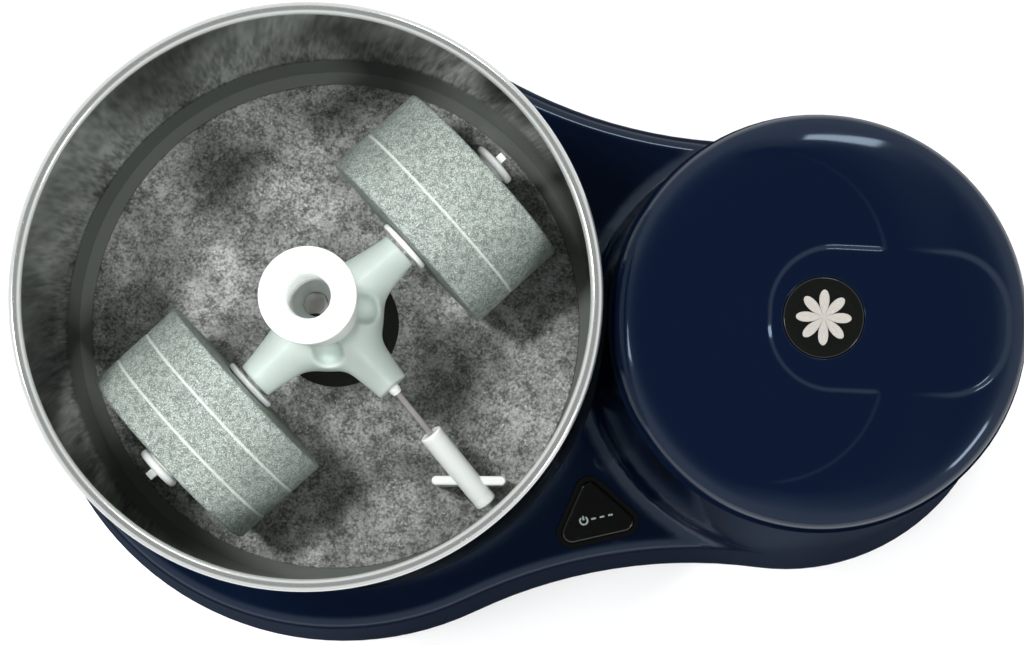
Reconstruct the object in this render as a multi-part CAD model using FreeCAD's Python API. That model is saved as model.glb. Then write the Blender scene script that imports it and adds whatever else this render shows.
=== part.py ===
"""Table-top wet grinder: a granite-floored steel drum, two roller stones and a motor tower.

Millimetres, +Z up. The origin is on the table under the middle of the whole machine. X runs from the
drum to the motor tower, Y to the back.
"""
import FreeCAD
import Part
import math
import os
from FreeCAD import Vector

# ---- driving dimensions ------------------------------------------------------------------------

# plan of the base
lobe_radius = 145.5          # skirt round the drum, at its lowest edge
foot_radius = 103.0          # skirt round the motor tower, at its lowest edge
tower_gap = 2.5              # between the drum's rim and the top of the tower
neck_radius = 240.0          # hollow arcs that join the two
skirt_inset = 7.5            # how far the skirt leans in from its foot to the deck
skirt_bottom = 3.0
deck_height = 45.0
deck_edge_radius = 8.0
tower_cove_radius = 12.0
shell_wall = 3.0
tower_top_radius = 87.5
tower_top = 180.0
scoop_clearance = 2.0        # the tower's near side is hollowed round the drum's rim

# feet and base plate
foot_height = 5.0
foot_pad_radius = 12.0
foot_edge = 1.5              # bevel round the foot's lower rim
foot_taper = 0.5
plate_thickness = 3.0
plate_clearance = 0.6
vent_length = 44.0
vent_width = 3.0
vent_count = 7
screw_head_radius = 3.6
screw_head_height = 2.2
screw_shank_radius = 1.9
screw_clearance = 0.3
screw_slot_width = 1.2
screw_slot_depth = 1.0
base_screw_length = 14.0
base_post_radius = 6.0

# tower cap
cap_skirt_radius = 86.0
cap_skirt_bottom = 181.0
cap_shoulder_height = 188.0
cap_shoulder_radius = 10.0
cap_shoulder_squash = 0.72   # the shoulder's height over its radius
cap_crown_height = 204.0
cap_wall = 2.5
cap_lip_depth = 8.0
cap_lip_clearance = 0.3
cap_rim_thickness = 3.0
cap_rim_setback = 0.5
tongue_half_width = 27.0
tongue_nose = 21.0           # the tongue's round end, measured back from the tower axis
tongue_length = 62.0         # the straight part, towards the outer side
tongue_proud = 1.2
medallion_radius = 16.6
medallion_thickness = 2.4
medallion_sink = 1.2
medallion_edge = 0.8
medallion_clearance = 0.2
medallion_cup_wall = 3.0
emblem_thickness = 0.6
emblem_disc_radius = 3.45
emblem_petal_length = 9.6
emblem_petal_width = 4.6
emblem_petal_distance = 6.7  # from the rosette's centre to a petal's middle
emblem_petals = 8

# start button
button_x = 122.0             # from the drum axis
button_edge_distance = 18.5  # from the rim of the skirt to the middle of the button
button_base = 42.0
button_apex = 29.0
button_turn = 15.0           # degrees
button_corner_radius = 4.5
button_gap = 0.4
button_proud = 2.0
button_travel = 2.5
button_thickness = 3.0
button_stop_gap = 1.0        # left under the key at full travel
bezel_width = 2.2
bezel_proud = 0.8
bezel_clearance = 0.1
plunger_radius = 3.0
switch_gap = 2.0             # between the guide floor and the switch, past the travel
switch_length = 20.0
switch_width = 8.0
switch_height = 10.0
switch_pillar_margin = 1.0

# drum
rim_height = 208.0
rim_radius = 120.0           # over the rolled bead
bead_radius = 2.6
drum_wall = 0.8
drum_bottom = 41.0
drum_corner_radius = 6.0
stone_floor_radius = 111.0
stone_floor_thickness = 21.0
stone_floor_chamfer = 2.4
seal_thickness = 6.0
seal_sink = 0.6              # below the granite's top
well_clearance = 3.5
well_depth = 10.0
stem_inner_radius = 8.5
stem_outer_radius = 11.0
stem_height = 65.0           # above the granite floor
stem_flange_radius = 28.5
stem_flange_thickness = 5.0
stem_flange_bevel = 3.0
stem_root_height = 7.0       # where the flange has run out into the tube
stem_bush_length = 25.0

# centre post
post_radius = 7.0
post_tip_radius = 5.0
post_shoulder = 130.0
post_top = 167.0
post_tip_chamfer = 0.8
post_key_half = 4.2          # half the distance across the tip's two flats
post_square = 9.6
post_bottom = 9.0
running_clearance = 0.06

# roller stones
roller_radius = 46.8
roller_width = 46.2
roller_distance = 70.2       # drum axis to the middle of each stone
roller_angle = 45.0          # degrees, first stone; the second stands opposite
roller_floor_gap = 0.3
roller_chamfer = 2.0
groove_width = 1.0
groove_depth = 0.5
first_groove_offsets = (-4.0,)
second_groove_offsets = (-7.0, 9.5)
roller_bore_radius = 9.0
axle_radius = 5.0
axle_gap = 1.3               # bare axle between an arm and its flange
inner_flange_radius = 12.6
inner_flange_thickness = 2.6
outer_cap_radius = 10.2
outer_cap_thickness = 3.6
cap_boss_radius = 7.5
cap_boss_length = 3.6
cap_skin = 1.5
axle_pin_width = 3.6
axle_pin_length = 4.0
face_gap = 0.3

# roller frame
arm_tip_width = 16.6
arm_tip_height = 18.0
arm_root_width = 35.0
arm_root_height = 44.0
frame_hub_radius = 17.8
frame_hub_top_radius = 15.6
frame_hub_bottom = 88.0
frame_hub_top = 139.0
frame_cavity_clearance = 1.3
arm_root_lift = 2.0          # the wide end's middle stands above the axle
arm_middle = 0.45            # where the trumpet's middle section lies along the arm
arm_middle_width = 0.32      # its width and height, as shares of the way from tip to root
arm_middle_height = 0.4
wiper_arm_slimness = 0.88
web_pocket_radius = 5.5
web_pocket_depth = 14.0
web_pocket_rise = 4.0        # the cutter starts this far above the arms

# lock knob
knob_radius = 20.1
knob_flange_thickness = 6.0
knob_flange_edge = 2.0
knob_neck_radius = 15.6
knob_top = 205.4
knob_bore_radius = 9.8
knob_bore_floor = 164.0
knob_ring_count = 5
knob_ring_depth = 0.8

# wiper
wiper_arm_angle = -45.0
wiper_heading = -48.5        # degrees, the rod's direction in plan
wiper_slope = 18.0           # degrees down from the arm
wiper_start_height = 113.0
ferrule_width = 5.4
ferrule_length = 3.6
ferrule_root = 2.0           # inside the arm
rod_radius = 1.5
rod_root = 8.0               # inside the arm
rod_length = 52.0
sleeve_start = 29.0          # along the rod, from the arm
sleeve_length = 41.0
sleeve_radius = 4.8
sleeve_edge = 0.8
blade_length = 33.0
blade_thickness = 4.2
blade_height = 32.0
blade_along = 57.0           # along the rod, from the arm
blade_heading = 2.0          # degrees, in plan
wiper_swing = 6.0            # degrees each way, turning on the rod

# drive under the drum
pedestal_radius = 20.0
pedestal_height = 18.5
pedestal_foot_width = 8.0
pedestal_foot_thickness = 3.0
socket_depth = 8.0
socket_clearance = 0.3
socket_web = 1.0             # metal between the post's socket and the lower bearing
bearing_spacer = 0.5
bearing_groove_half = 1.0
bearing_groove_depth = 0.4
bearing_outer_radius = 15.5
spindle_radius = 10.8
spindle_bore_clearance = 0.4
pulley_rim_radius = 78.0
pulley_rim_width = 14.0
pulley_rim_thickness = 5.0
pulley_web_thickness = 3.0
pulley_web_gap = 1.0         # above the pedestal
pulley_hole_radius = 13.0
pulley_hole_count = 6
pulley_groove_count = 4
pulley_groove_half = 0.5
pulley_groove_depth = 0.8
dog_thickness = 4.0
dog_core_radius = 22.0
dog_lobe_radius = 6.0
dog_overlap = 4.0            # how far a lobe's bridge reaches into the core
dog_gap = 0.5
coupling_outer_radius = 40.0
coupling_lift = 1.5          # above the well floor
well_hole_clearance = 4.0

# motor
motor_pulley_radius = 13.0
motor_pulley_length = 15.0
belt_thickness = 2.6
belt_width = 10.0
belt_gap = 0.3
motor_shaft_radius = 5.0
motor_shaft_bottom = 10.0
motor_shaft_top = 146.0
bracket_height = 62.0
bracket_radius = 78.0
bracket_thickness = 2.5
bracket_hole_radius = 9.0
stator_radius = 48.0
stator_bore_radius = 25.5
stator_stack = 42.0
stator_slots = 24
stator_slot_depth = 10.5
stator_slot_width = 3.2
coil_width = 12.0
coil_gap = 2.0               # from the bore's edge
coil_end_gap = 4.0           # from the end shield
coil_edge = 3.0
air_gap = 0.5
rotor_ring_height = 4.0
rotor_ring_setback = 1.5
rotor_ring_width = 7.5
shaft_chamfer = 0.6
end_cap_depth = 16.0
end_cap_wall = 3.0
end_cap_setback = 1.0        # the shields are a little narrower than the stack
motor_bearing_radius = 13.0
motor_bearing_width = 8.0
bearing_seat_gap = 2.0       # end shield left outside each bearing
fan_radius = 40.0
fan_height = 9.0
fan_blades = 9
fan_gap = 4.0                # below the bracket
fan_plate = 1.6
fan_hub_wall = 5.0
fan_hub_overlap = 1.0
motor_pulley_flange = 1.5
motor_pulley_rise = 1.0      # the flanges' rims stand this far past the belt
mount_radius = 7.0
mount_height = 6.0
mount_circle_radius = 68.0
mount_pillar_lift = 20.0     # the pillars start this far above the plate
capacitor_radius = 14.0
capacitor_height = 55.0
capacitor_distance = 64.0
capacitor_edge = 2.5
strap_thickness = 1.2
strap_height = 14.0
strap_foot_width = 6.0

# cord inlet
gland_angle = 62.0
gland_height = 21.0
gland_radius = 7.5
gland_bore_radius = 3.6
gland_proud = 4.0
gland_edge = 1.5

# ---- places worked out from them ---------------------------------------------------------------

axis_distance = rim_radius + tower_gap + tower_top_radius
scoop_radius = rim_radius + scoop_clearance
overall_length = lobe_radius + axis_distance + foot_radius
drum_x = lobe_radius - overall_length / 2
tower_x = drum_x + axis_distance
floor_top = drum_bottom + drum_wall + stone_floor_thickness
axle_height = floor_top + roller_floor_gap + roller_radius
roller_start = roller_distance - roller_width / 2
roller_end = roller_distance + roller_width / 2
arm_reach = roller_start - face_gap - inner_flange_thickness - axle_gap
drum_outer_radius = rim_radius - bead_radius
drum_inner_radius = drum_outer_radius - drum_wall
well_radius = drum_outer_radius + well_clearance
well_floor = deck_height - well_depth
plate_bottom = foot_height
plate_top = plate_bottom + plate_thickness
stem_top = floor_top + stem_height
spindle_top = drum_bottom - face_gap
blade_floor_gap = face_gap + blade_length / 2 * math.sin(math.radians(wiper_swing))
cutter_reach = 3 * overall_length   # longer than anything it cuts

UP = Vector(0, 0, 1)
DRUM = Vector(drum_x, 0, 0)
TOWER = Vector(tower_x, 0, 0)


# ---- small helpers -----------------------------------------------------------------------------

def cylinder(radius, bottom, top, centre=DRUM):
    """Upright cylinder between two heights."""
    return Part.makeCylinder(radius, top - bottom, Vector(centre.x, centre.y, bottom))


def ring(outer, inner, bottom, top, centre=DRUM):
    """Upright ring between two heights."""
    return cylinder(outer, bottom, top, centre).cut(cylinder(inner, bottom, top, centre))


def turned(points, centre=DRUM):
    """Solid of revolution from (radius, height) points about an upright axis."""
    outline = [Vector(radius, 0, height) for radius, height in points]
    solid = Part.Face(Part.makePolygon(outline + outline[:1])).revolve(Vector(), UP, 360)
    solid.translate(centre)
    return solid


def about(shape, centre, degrees):
    """Copy of a shape turned about an upright axis."""
    copy = shape.copy()
    copy.rotate(centre, UP, degrees)
    return copy


def polar(centre, radius, degrees, height=0.0):
    """Point at a radius and an angle from an upright axis."""
    angle = math.radians(degrees)
    return centre + Vector(radius * math.cos(angle), radius * math.sin(angle), height)


def laid_out(shape, degrees, height):
    """Shape drawn along +X from the drum axis, turned to its angle and lifted to its height."""
    copy = shape.copy()
    copy.translate(Vector(drum_x, 0, height))
    return about(copy, DRUM, degrees)


def along_x(radius, start, end):
    """Cylinder lying along +X."""
    return Part.makeCylinder(radius, end - start, Vector(start, 0, 0), Vector(1, 0, 0))


def upright_box(length, width, bottom, top):
    """Box between two heights, centred on the origin in plan."""
    return Part.makeBox(length, width, top - bottom, Vector(-length / 2, -width / 2, bottom))


def save(name, *solids):
    """Write one node, as one solid or as a group of separate solids."""
    shape = solids[0] if len(solids) == 1 else Part.makeCompound(list(solids))
    for solid in shape.Solids:
        if not solid.isValid():
            raise ValueError(name + " is not a valid solid")
    shape.exportStep("parts/" + name + ".step")
    print(name, len(shape.Solids), round(shape.Volume))


# ---- base --------------------------------------------------------------------------------------

def skirt_offset(height):
    """How far the skirt has leaned in at a height."""
    return skirt_inset * (height - skirt_bottom) / (deck_height - skirt_bottom)


def base_outline(offset, height):
    """Figure-eight outline: two round ends joined by two hollow arcs, all moved in by an offset."""
    lobe = lobe_radius - offset
    foot = foot_radius - offset
    neck = neck_radius + offset
    near = lobe + neck
    far = foot + neck
    neck_x = (near ** 2 - far ** 2 + axis_distance ** 2) / (2 * axis_distance)
    neck_y = math.sqrt(near ** 2 - neck_x ** 2)
    lobe_joint = Vector(neck_x, neck_y, 0) * (lobe / near)
    foot_joint = Vector(axis_distance, 0, 0) + Vector(neck_x - axis_distance, neck_y, 0) * (foot / far)
    mirrored = [Vector(p.x, -p.y, 0) for p in (lobe_joint, foot_joint)]
    edges = [
        Part.Arc(lobe_joint, Vector(-lobe, 0, 0), mirrored[0]),
        Part.Arc(mirrored[0], Vector(neck_x, neck - neck_y, 0), mirrored[1]),
        Part.Arc(mirrored[1], Vector(axis_distance + foot, 0, 0), foot_joint),
        Part.Arc(foot_joint, Vector(neck_x, neck_y - neck, 0), lobe_joint),
    ]
    wire = Part.Wire([edge.toShape() for edge in edges])
    wire.translate(DRUM + UP * height)
    return wire


def deck_half_width(x):
    """Half the neck's width at deck level, at a distance from the drum axis."""
    neck = neck_radius + skirt_inset
    near = lobe_radius - skirt_inset + neck
    far = foot_radius - skirt_inset + neck
    neck_x = (near ** 2 - far ** 2 + axis_distance ** 2) / (2 * axis_distance)
    neck_y = math.sqrt(near ** 2 - neck_x ** 2)
    return neck_y - math.sqrt(neck ** 2 - (x - neck_x) ** 2)


def base_block(inset, bottom, top):
    """Solid inside the skirt, moved in from its outer face."""
    lower = base_outline(inset + skirt_offset(bottom), bottom)
    upper = base_outline(inset + skirt_offset(top), top)
    return Part.makeLoft([lower, upper], True, True)


def tower_radius(height):
    """Outer radius of the tower at a height."""
    if height <= deck_height:
        return foot_radius - skirt_offset(height)
    share = (height - deck_height) / (tower_top - deck_height)
    return foot_radius - skirt_inset + share * (tower_top_radius - foot_radius + skirt_inset)


def tower_block(inset, bottom, top):
    """Solid inside the tower's outer face, moved in from it."""
    return turned([(0, bottom), (tower_radius(bottom) - inset, bottom),
                   (tower_radius(deck_height) - inset, deck_height),
                   (tower_radius(top) - inset, top), (0, top)], TOWER)


def deck_edges(shape):
    """Edges that lie flat at deck level."""
    level = []
    for edge in shape.Edges:
        box = edge.BoundBox
        if abs(box.ZMin - deck_height) < 0.01 and abs(box.ZMax - deck_height) < 0.01:
            level.append(edge)
    return level


def tower_joint_edges(shape):
    """The arc where the deck meets the tower."""
    radius = foot_radius - skirt_inset
    found = []
    for edge in deck_edges(shape):
        centre = getattr(edge.Curve, "Center", None)
        if centre is None or abs(edge.Curve.Radius - radius) > 0.01:
            continue
        if centre.distanceToPoint(TOWER + UP * deck_height) < 0.01 and edge.BoundBox.XMax < tower_x:
            found.append(edge)
    return found


def base_outside():
    """Skirt, rounded deck and tower as one closed form, the tower hollowed beside the drum."""
    block = base_block(0, skirt_bottom, deck_height)
    block = block.makeFillet(deck_edge_radius, deck_edges(block))
    whole = block.fuse(tower_block(0, skirt_bottom, tower_top)).removeSplitter()
    whole = whole.makeFillet(tower_cove_radius, tower_joint_edges(whole))
    return whole.cut(cylinder(scoop_radius, deck_height, 2 * tower_top))


def base_inside(inset, top):
    """Space inside the skirt and the tower, moved in from their outer faces."""
    tower = tower_block(inset, skirt_bottom, tower_top)
    tower = tower.cut(cylinder(scoop_radius + inset, deck_height - inset, 2 * tower_top))
    return base_block(inset, skirt_bottom, top).fuse(tower)


def base_post_places():
    """Where the base plate is screwed up into the shell."""
    rim = (well_radius + shell_wall + lobe_radius - skirt_inset - shell_wall) / 2
    places = [polar(DRUM, rim, angle) for angle in (105, 180, 255)]
    places += [polar(TOWER, foot_radius - skirt_inset - 2 * shell_wall, angle) for angle in (-40, 40)]
    neck_x = well_radius + shell_wall + base_post_radius
    places += [DRUM + Vector(neck_x, side * deck_half_width(neck_x) * 0.55, 0) for side in (-1, 1)]
    return places


def mount_places():
    """Where the motor bracket stands on its rubber mounts."""
    return [polar(TOWER, mount_circle_radius, angle) for angle in (45, 135, 225, 315)]


def mount_ribs():
    """Pillars that reach from the tower wall to the motor mounts."""
    bottom = plate_top + mount_pillar_lift
    top = bracket_height - mount_height
    ribs = []
    for place in mount_places():
        pillar = cylinder(mount_radius, bottom, top, place)
        direction = (place - TOWER).normalize()
        angle = math.degrees(math.atan2(direction.y, direction.x))
        reach = tower_radius(deck_height) - mount_circle_radius
        rib = Part.makeBox(reach, shell_wall, top - bottom)
        rib.translate(Vector(0, -shell_wall / 2, bottom))
        rib.rotate(Vector(), UP, angle)
        rib.translate(place)
        ribs += [pillar, rib]
    return ribs


def make_base_shell():
    """Hollow moulding: lobe with a shallow well for the drum, neck and motor tower."""
    shell = base_outside().cut(base_inside(shell_wall, deck_height - shell_wall))
    well_wall = well_radius + shell_wall
    middle = deck_height - shell_wall / 2
    shell = shell.fuse(cylinder(well_wall, well_floor - shell_wall, middle))
    limit = base_inside(shell_wall / 2, middle)
    posts = [cylinder(base_post_radius, plate_top, middle, place) for place in base_post_places()]
    shell = shell.fuse([piece.common(limit) for piece in posts + mount_ribs()])
    shell = shell.cut(cylinder(well_radius, well_floor, deck_height + shell_wall))
    hole = spindle_radius + well_hole_clearance
    shell = shell.cut(cylinder(hole, plate_top, deck_height))
    for place in base_post_places():
        shell = shell.cut(cylinder(screw_shank_radius, plate_top, plate_top + base_screw_length, place))
    opening = button_prism(bezel_width + button_gap, plate_top, deck_height + 2 * shell_wall)
    shell = shell.cut(opening)
    return shell.cut(gland_body(0)).removeSplitter()


def plate_blank(inset, bottom, top):
    """Slab that follows the inside of the skirt."""
    outline = base_outline(inset + skirt_offset(plate_top) + shell_wall, bottom)
    return Part.Face(outline).extrude(UP * (top - bottom))


def foot_places():
    """Four feet: two under the lobe's outer corners and two under the tower."""
    reach = lobe_radius - skirt_inset - 2 * foot_pad_radius
    places = [polar(DRUM, reach, angle) for angle in (125, 235)]
    reach = foot_radius - skirt_inset - 2 * foot_pad_radius
    return places + [polar(TOWER, reach, angle) for angle in (-50, 50)]


def make_base_plate():
    """Flat closing plate with vent slots under the motor and screw holes."""
    plate = plate_blank(plate_clearance, plate_bottom, plate_top)
    for place in base_post_places():
        hole = cylinder(screw_shank_radius + screw_clearance, plate_bottom, plate_top, place)
        plate = plate.cut(hole)
    for place in foot_places():
        plate = plate.cut(cylinder(screw_shank_radius, plate_bottom, plate_top, place))
    for index in range(vent_count):
        shift = (index - (vent_count - 1) / 2) * 3 * vent_width
        slot = Part.makeBox(vent_length, vent_width, plate_thickness)
        slot.translate(Vector(tower_x - vent_length / 2, shift - vent_width / 2, plate_bottom))
        plate = plate.cut(slot)
    return plate


def screw_up(place, head_bottom, length):
    """Screw driven upwards, with its head below."""
    head = cylinder(screw_head_radius, head_bottom, head_bottom + screw_head_height, place)
    shank = cylinder(screw_shank_radius, head_bottom, head_bottom + screw_head_height + length, place)
    slot = Part.makeBox(screw_slot_width, 2 * screw_head_radius, screw_slot_depth)
    slot.translate(place + Vector(-screw_slot_width / 2, -screw_head_radius, head_bottom))
    return head.fuse(shank).cut(slot)


def make_feet():
    """Rubber feet, each a tapered pad with a plug that fills its hole in the plate."""
    feet = []
    for place in foot_places():
        pad = turned([(0, 0), (foot_pad_radius - foot_edge, 0), (foot_pad_radius, foot_edge),
                      (foot_pad_radius - foot_taper, foot_height), (0, foot_height)], place)
        feet.append(pad.fuse(cylinder(screw_shank_radius, foot_edge, plate_top, place)))
    return feet


# ---- start button ------------------------------------------------------------------------------

def button_centre():
    """Middle of the button's triangle, set in from the front edge of the deck."""
    return DRUM + Vector(button_x, button_edge_distance - deck_half_width(button_x), 0)


def button_prism(grow, bottom, top):
    """Upright prism on the button's triangle, its corners rounded and its sides moved out."""
    corners = [Vector(-button_base / 2, -button_apex / 3, 0), Vector(button_base / 2, -button_apex / 3, 0),
               Vector(0, button_apex * 2 / 3, 0)]
    radius = button_corner_radius
    face = Part.Face(Part.makePolygon(corners + corners[:1]))
    outline = face.makeOffset2D(-radius).makeOffset2D(radius + grow)
    prism = outline.extrude(UP * (top - bottom))
    prism.rotate(Vector(), UP, button_turn)
    prism.translate(button_centre() + UP * bottom)
    return prism


def make_press_button():
    """Triangular key with a stem that reaches the switch."""
    top = deck_height + button_proud
    key = button_prism(0, top - button_thickness, top)
    stem = cylinder(plunger_radius, switch_top() + face_gap, top - button_thickness, button_centre())
    return key.fuse(stem)


def make_button_bezel():
    """Raised ring round the key, filling the opening in the deck, with a guide floor for the stem."""
    grow = bezel_width + button_gap - bezel_clearance
    outer = button_prism(grow, bezel_floor(), deck_height + bezel_proud)
    bore = button_prism(button_gap, bezel_floor() + shell_wall, deck_height + bezel_proud)
    guide = cylinder(plunger_radius + button_gap, bezel_floor(), bezel_floor() + shell_wall,
                     button_centre())
    return outer.cut(bore).cut(guide)


def bezel_floor():
    """Underside of the guide floor: the key's full travel fits above it."""
    key_bottom = deck_height + button_proud - button_thickness
    return key_bottom - button_travel - button_stop_gap - shell_wall


def switch_top():
    """Top of the micro switch body, below the stem at full travel."""
    return bezel_floor() - button_travel - switch_gap


def make_micro_switch():
    """Switch body on a pillar that stands on the base plate."""
    bottom = switch_top() - switch_height - button_travel
    body = upright_box(switch_length, switch_width, bottom, bottom + switch_height)
    shrink = 2 * switch_pillar_margin
    pillar = upright_box(switch_length / 2 + shrink, switch_width - shrink, plate_top, bottom)
    body = body.fuse(pillar)
    body.translate(button_centre())
    return body


# ---- tower cap ---------------------------------------------------------------------------------

def cap_form(inset):
    """Domed form, moved in by an inset: upright skirt, round shoulder, shallow crown."""
    radius = cap_skirt_radius - inset
    shoulder = cap_shoulder_height - inset
    crown = cap_crown_height - inset
    corner = cap_shoulder_radius
    rise = corner * cap_shoulder_squash
    turn = math.sqrt(0.5)
    start = Vector(radius, 0, shoulder)
    middle = Vector(radius - corner + corner * turn, 0, shoulder + rise * turn)
    end = Vector(radius - corner, 0, shoulder + rise)
    half = Vector(end.x / 2, 0, end.z + (crown - end.z) * 0.75)
    top = Vector(0, 0, crown)
    low = Vector(radius, 0, cap_skirt_bottom)
    base = Vector(0, 0, cap_skirt_bottom)
    edges = [Part.LineSegment(base, low), Part.LineSegment(low, start), Part.Arc(start, middle, end),
             Part.Arc(end, half, top), Part.LineSegment(top, base)]
    face = Part.Face(Part.Wire([edge.toShape() for edge in edges]))
    form = face.revolve(Vector(), UP, 360)
    form.translate(TOWER)
    return form


def make_tower_cap():
    """Domed cap with a raised tongue, a seat for the medallion and a lip inside the tower."""
    tongue_tool = cylinder(tongue_half_width, cap_shoulder_height, cap_crown_height + tongue_proud,
                           TOWER + Vector(tongue_half_width - tongue_nose, 0, 0))
    bar = Part.makeBox(tongue_length, 2 * tongue_half_width,
                       cap_crown_height + tongue_proud - cap_shoulder_height)
    bar.translate(TOWER + Vector(tongue_half_width - tongue_nose, -tongue_half_width, cap_shoulder_height))
    raised = cap_form(0)
    raised.translate(UP * tongue_proud)
    outside = cap_form(0).fuse(raised.common(tongue_tool.fuse(bar)).common(
        cylinder(cap_skirt_radius - 2 * cap_shoulder_radius, cap_skirt_bottom, cutter_reach, TOWER)))
    hollow = cap_form(cap_wall)
    cap = outside.cut(hollow)
    lip_radius = tower_top_radius - shell_wall - cap_lip_clearance
    rim_top = cap_skirt_bottom + cap_rim_thickness
    lip = ring(lip_radius, lip_radius - cap_wall, tower_top - cap_lip_depth, rim_top, TOWER)
    rim = ring(cap_skirt_radius - cap_rim_setback, lip_radius - cap_wall, cap_skirt_bottom, rim_top, TOWER)
    cap = cap.fuse([lip, rim])
    seat_floor = medallion_bottom()
    cup = cylinder(medallion_radius + medallion_cup_wall, seat_floor - cap_wall, cap_crown_height, TOWER)
    cap = cap.fuse(cup.common(outside))
    seat = cylinder(medallion_radius + medallion_clearance, seat_floor, cutter_reach, TOWER)
    return cap.cut(seat).removeSplitter()


def medallion_bottom():
    """The medallion's underside, sunk below the tongue's surface."""
    return cap_crown_height + tongue_proud - medallion_sink - medallion_thickness / 2


def make_medallion():
    """Gloss disc with a softened edge."""
    bottom = medallion_bottom()
    disc = cylinder(medallion_radius, bottom, bottom + medallion_thickness, TOWER)
    top_edge = [edge for edge in disc.Edges if abs(edge.BoundBox.ZMin - disc.BoundBox.ZMax) < 0.01]
    return disc.makeFillet(medallion_edge, top_edge)


def make_emblem():
    """Plain rosette: a small disc and equal petals."""
    bottom = medallion_bottom() + medallion_thickness
    pieces = [cylinder(emblem_disc_radius, bottom, bottom + emblem_thickness, TOWER)]
    for index in range(emblem_petals):
        angle = index * 360 / emblem_petals
        ellipse = Part.Ellipse(Vector(), emblem_petal_length / 2, emblem_petal_width / 2)
        petal = Part.Face(Part.Wire(ellipse.toShape())).extrude(UP * emblem_thickness)
        petal.translate(TOWER + Vector(emblem_petal_distance, 0, bottom))
        pieces.append(about(petal, TOWER, angle))
    return pieces[0].fuse(pieces[1:]).removeSplitter()


# ---- drum --------------------------------------------------------------------------------------

def make_drum_shell():
    """Straight-sided steel drum with a rounded lower corner and a rolled bead at the rim."""
    outer = cylinder(drum_outer_radius, drum_bottom, rim_height - bead_radius)
    low_edge = [edge for edge in outer.Edges if edge.BoundBox.ZMax < drum_bottom + 0.01]
    outer = outer.makeFillet(drum_corner_radius, low_edge)
    inner = cylinder(drum_inner_radius, drum_bottom + drum_wall, rim_height)
    low_edge = [edge for edge in inner.Edges if edge.BoundBox.ZMax < drum_bottom + drum_wall + 0.01]
    inner = inner.makeFillet(drum_corner_radius - drum_wall, low_edge)
    shell = outer.cut(inner)
    bead = Part.makeTorus(drum_outer_radius, bead_radius, DRUM + UP * (rim_height - bead_radius))
    shell = shell.fuse(bead)
    return shell.cut(cylinder(stem_outer_radius, 0, drum_bottom + 2 * drum_wall))


def make_floor_stone():
    """Granite disc bedded on the drum's bottom."""
    stone = cylinder(stone_floor_radius, drum_bottom + drum_wall, floor_top)
    low = [edge for edge in stone.Edges if edge.BoundBox.ZMax < drum_bottom + drum_wall + 0.01]
    stone = stone.makeChamfer(stone_floor_chamfer, low)
    return stone.cut(cylinder(stem_outer_radius, drum_bottom, floor_top))


def make_drum_seal():
    """Dark ring that fills the gap between the granite and the drum wall."""
    top = floor_top - seal_sink
    return ring(drum_inner_radius, stone_floor_radius, top - seal_thickness, top)


def make_drum_stem():
    """Flanged tube that keeps the batter away from the post."""
    flange_top = floor_top + stem_flange_thickness
    bevel = stem_flange_bevel
    points = [(stem_inner_radius, drum_bottom), (stem_outer_radius, drum_bottom),
              (stem_outer_radius, floor_top), (stem_flange_radius, floor_top),
              (stem_flange_radius, flange_top - bevel), (stem_flange_radius - bevel, flange_top),
              (stem_outer_radius + bevel, flange_top + bevel),
              (stem_outer_radius, flange_top + stem_root_height),
              (stem_outer_radius, stem_top), (stem_inner_radius, stem_top)]
    return turned(points)


def make_stem_bush():
    """Plain bearing pressed into the top of the stem."""
    bore = post_radius + running_clearance
    return ring(stem_inner_radius, bore, stem_top - stem_bush_length, stem_top)


def dog_lobes(grow, bottom, top):
    """Three-lobed prism, its faces moved out."""
    shape = cylinder(dog_core_radius + grow, bottom, top)
    for index in range(3):
        place = polar(DRUM, dog_core_radius + dog_lobe_radius, 120 * index)
        lobe = cylinder(dog_lobe_radius + grow, bottom, top, place)
        bridge = Part.makeBox(dog_lobe_radius + dog_overlap, 2 * (dog_lobe_radius + grow), top - bottom)
        bridge.translate(DRUM + Vector(dog_core_radius - dog_overlap, -dog_lobe_radius - grow, bottom))
        shape = shape.fuse([lobe, about(bridge, DRUM, 120 * index)])
    return shape.removeSplitter()


def make_drum_coupling():
    """Ring under the drum, notched for the drive dog."""
    bottom = well_floor + coupling_lift
    blank = cylinder(coupling_outer_radius, bottom, drum_bottom)
    return blank.cut(dog_lobes(dog_gap, bottom, drum_bottom))


# ---- drive under the drum ----------------------------------------------------------------------

def make_centre_post():
    """Fixed post: a square end in the pedestal, a plain body, a shoulder and a flatted tip."""
    square = upright_box(post_square, post_square, post_bottom, post_bottom + socket_depth)
    square.translate(DRUM)
    body = cylinder(post_radius, post_bottom + socket_depth, post_shoulder)
    tip = cylinder(post_tip_radius, post_shoulder, post_top)
    top_edge = [edge for edge in tip.Edges if edge.BoundBox.ZMin > post_top - 0.01]
    tip = tip.makeChamfer(post_tip_chamfer, top_edge)
    tip = tip.common(keyed_bar(0, post_shoulder, post_top))
    square = square.common(cylinder(post_radius, post_bottom, post_shoulder))
    return square.fuse([body, tip]).removeSplitter()


def keyed_bar(grow, bottom, top):
    """Bar with two flats that stops the roller frame from turning on the post."""
    half = post_key_half + grow
    bar = Part.makeBox(4 * post_radius, 2 * half, top - bottom)
    bar.translate(DRUM + Vector(-2 * post_radius, -half, bottom))
    return bar


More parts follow.
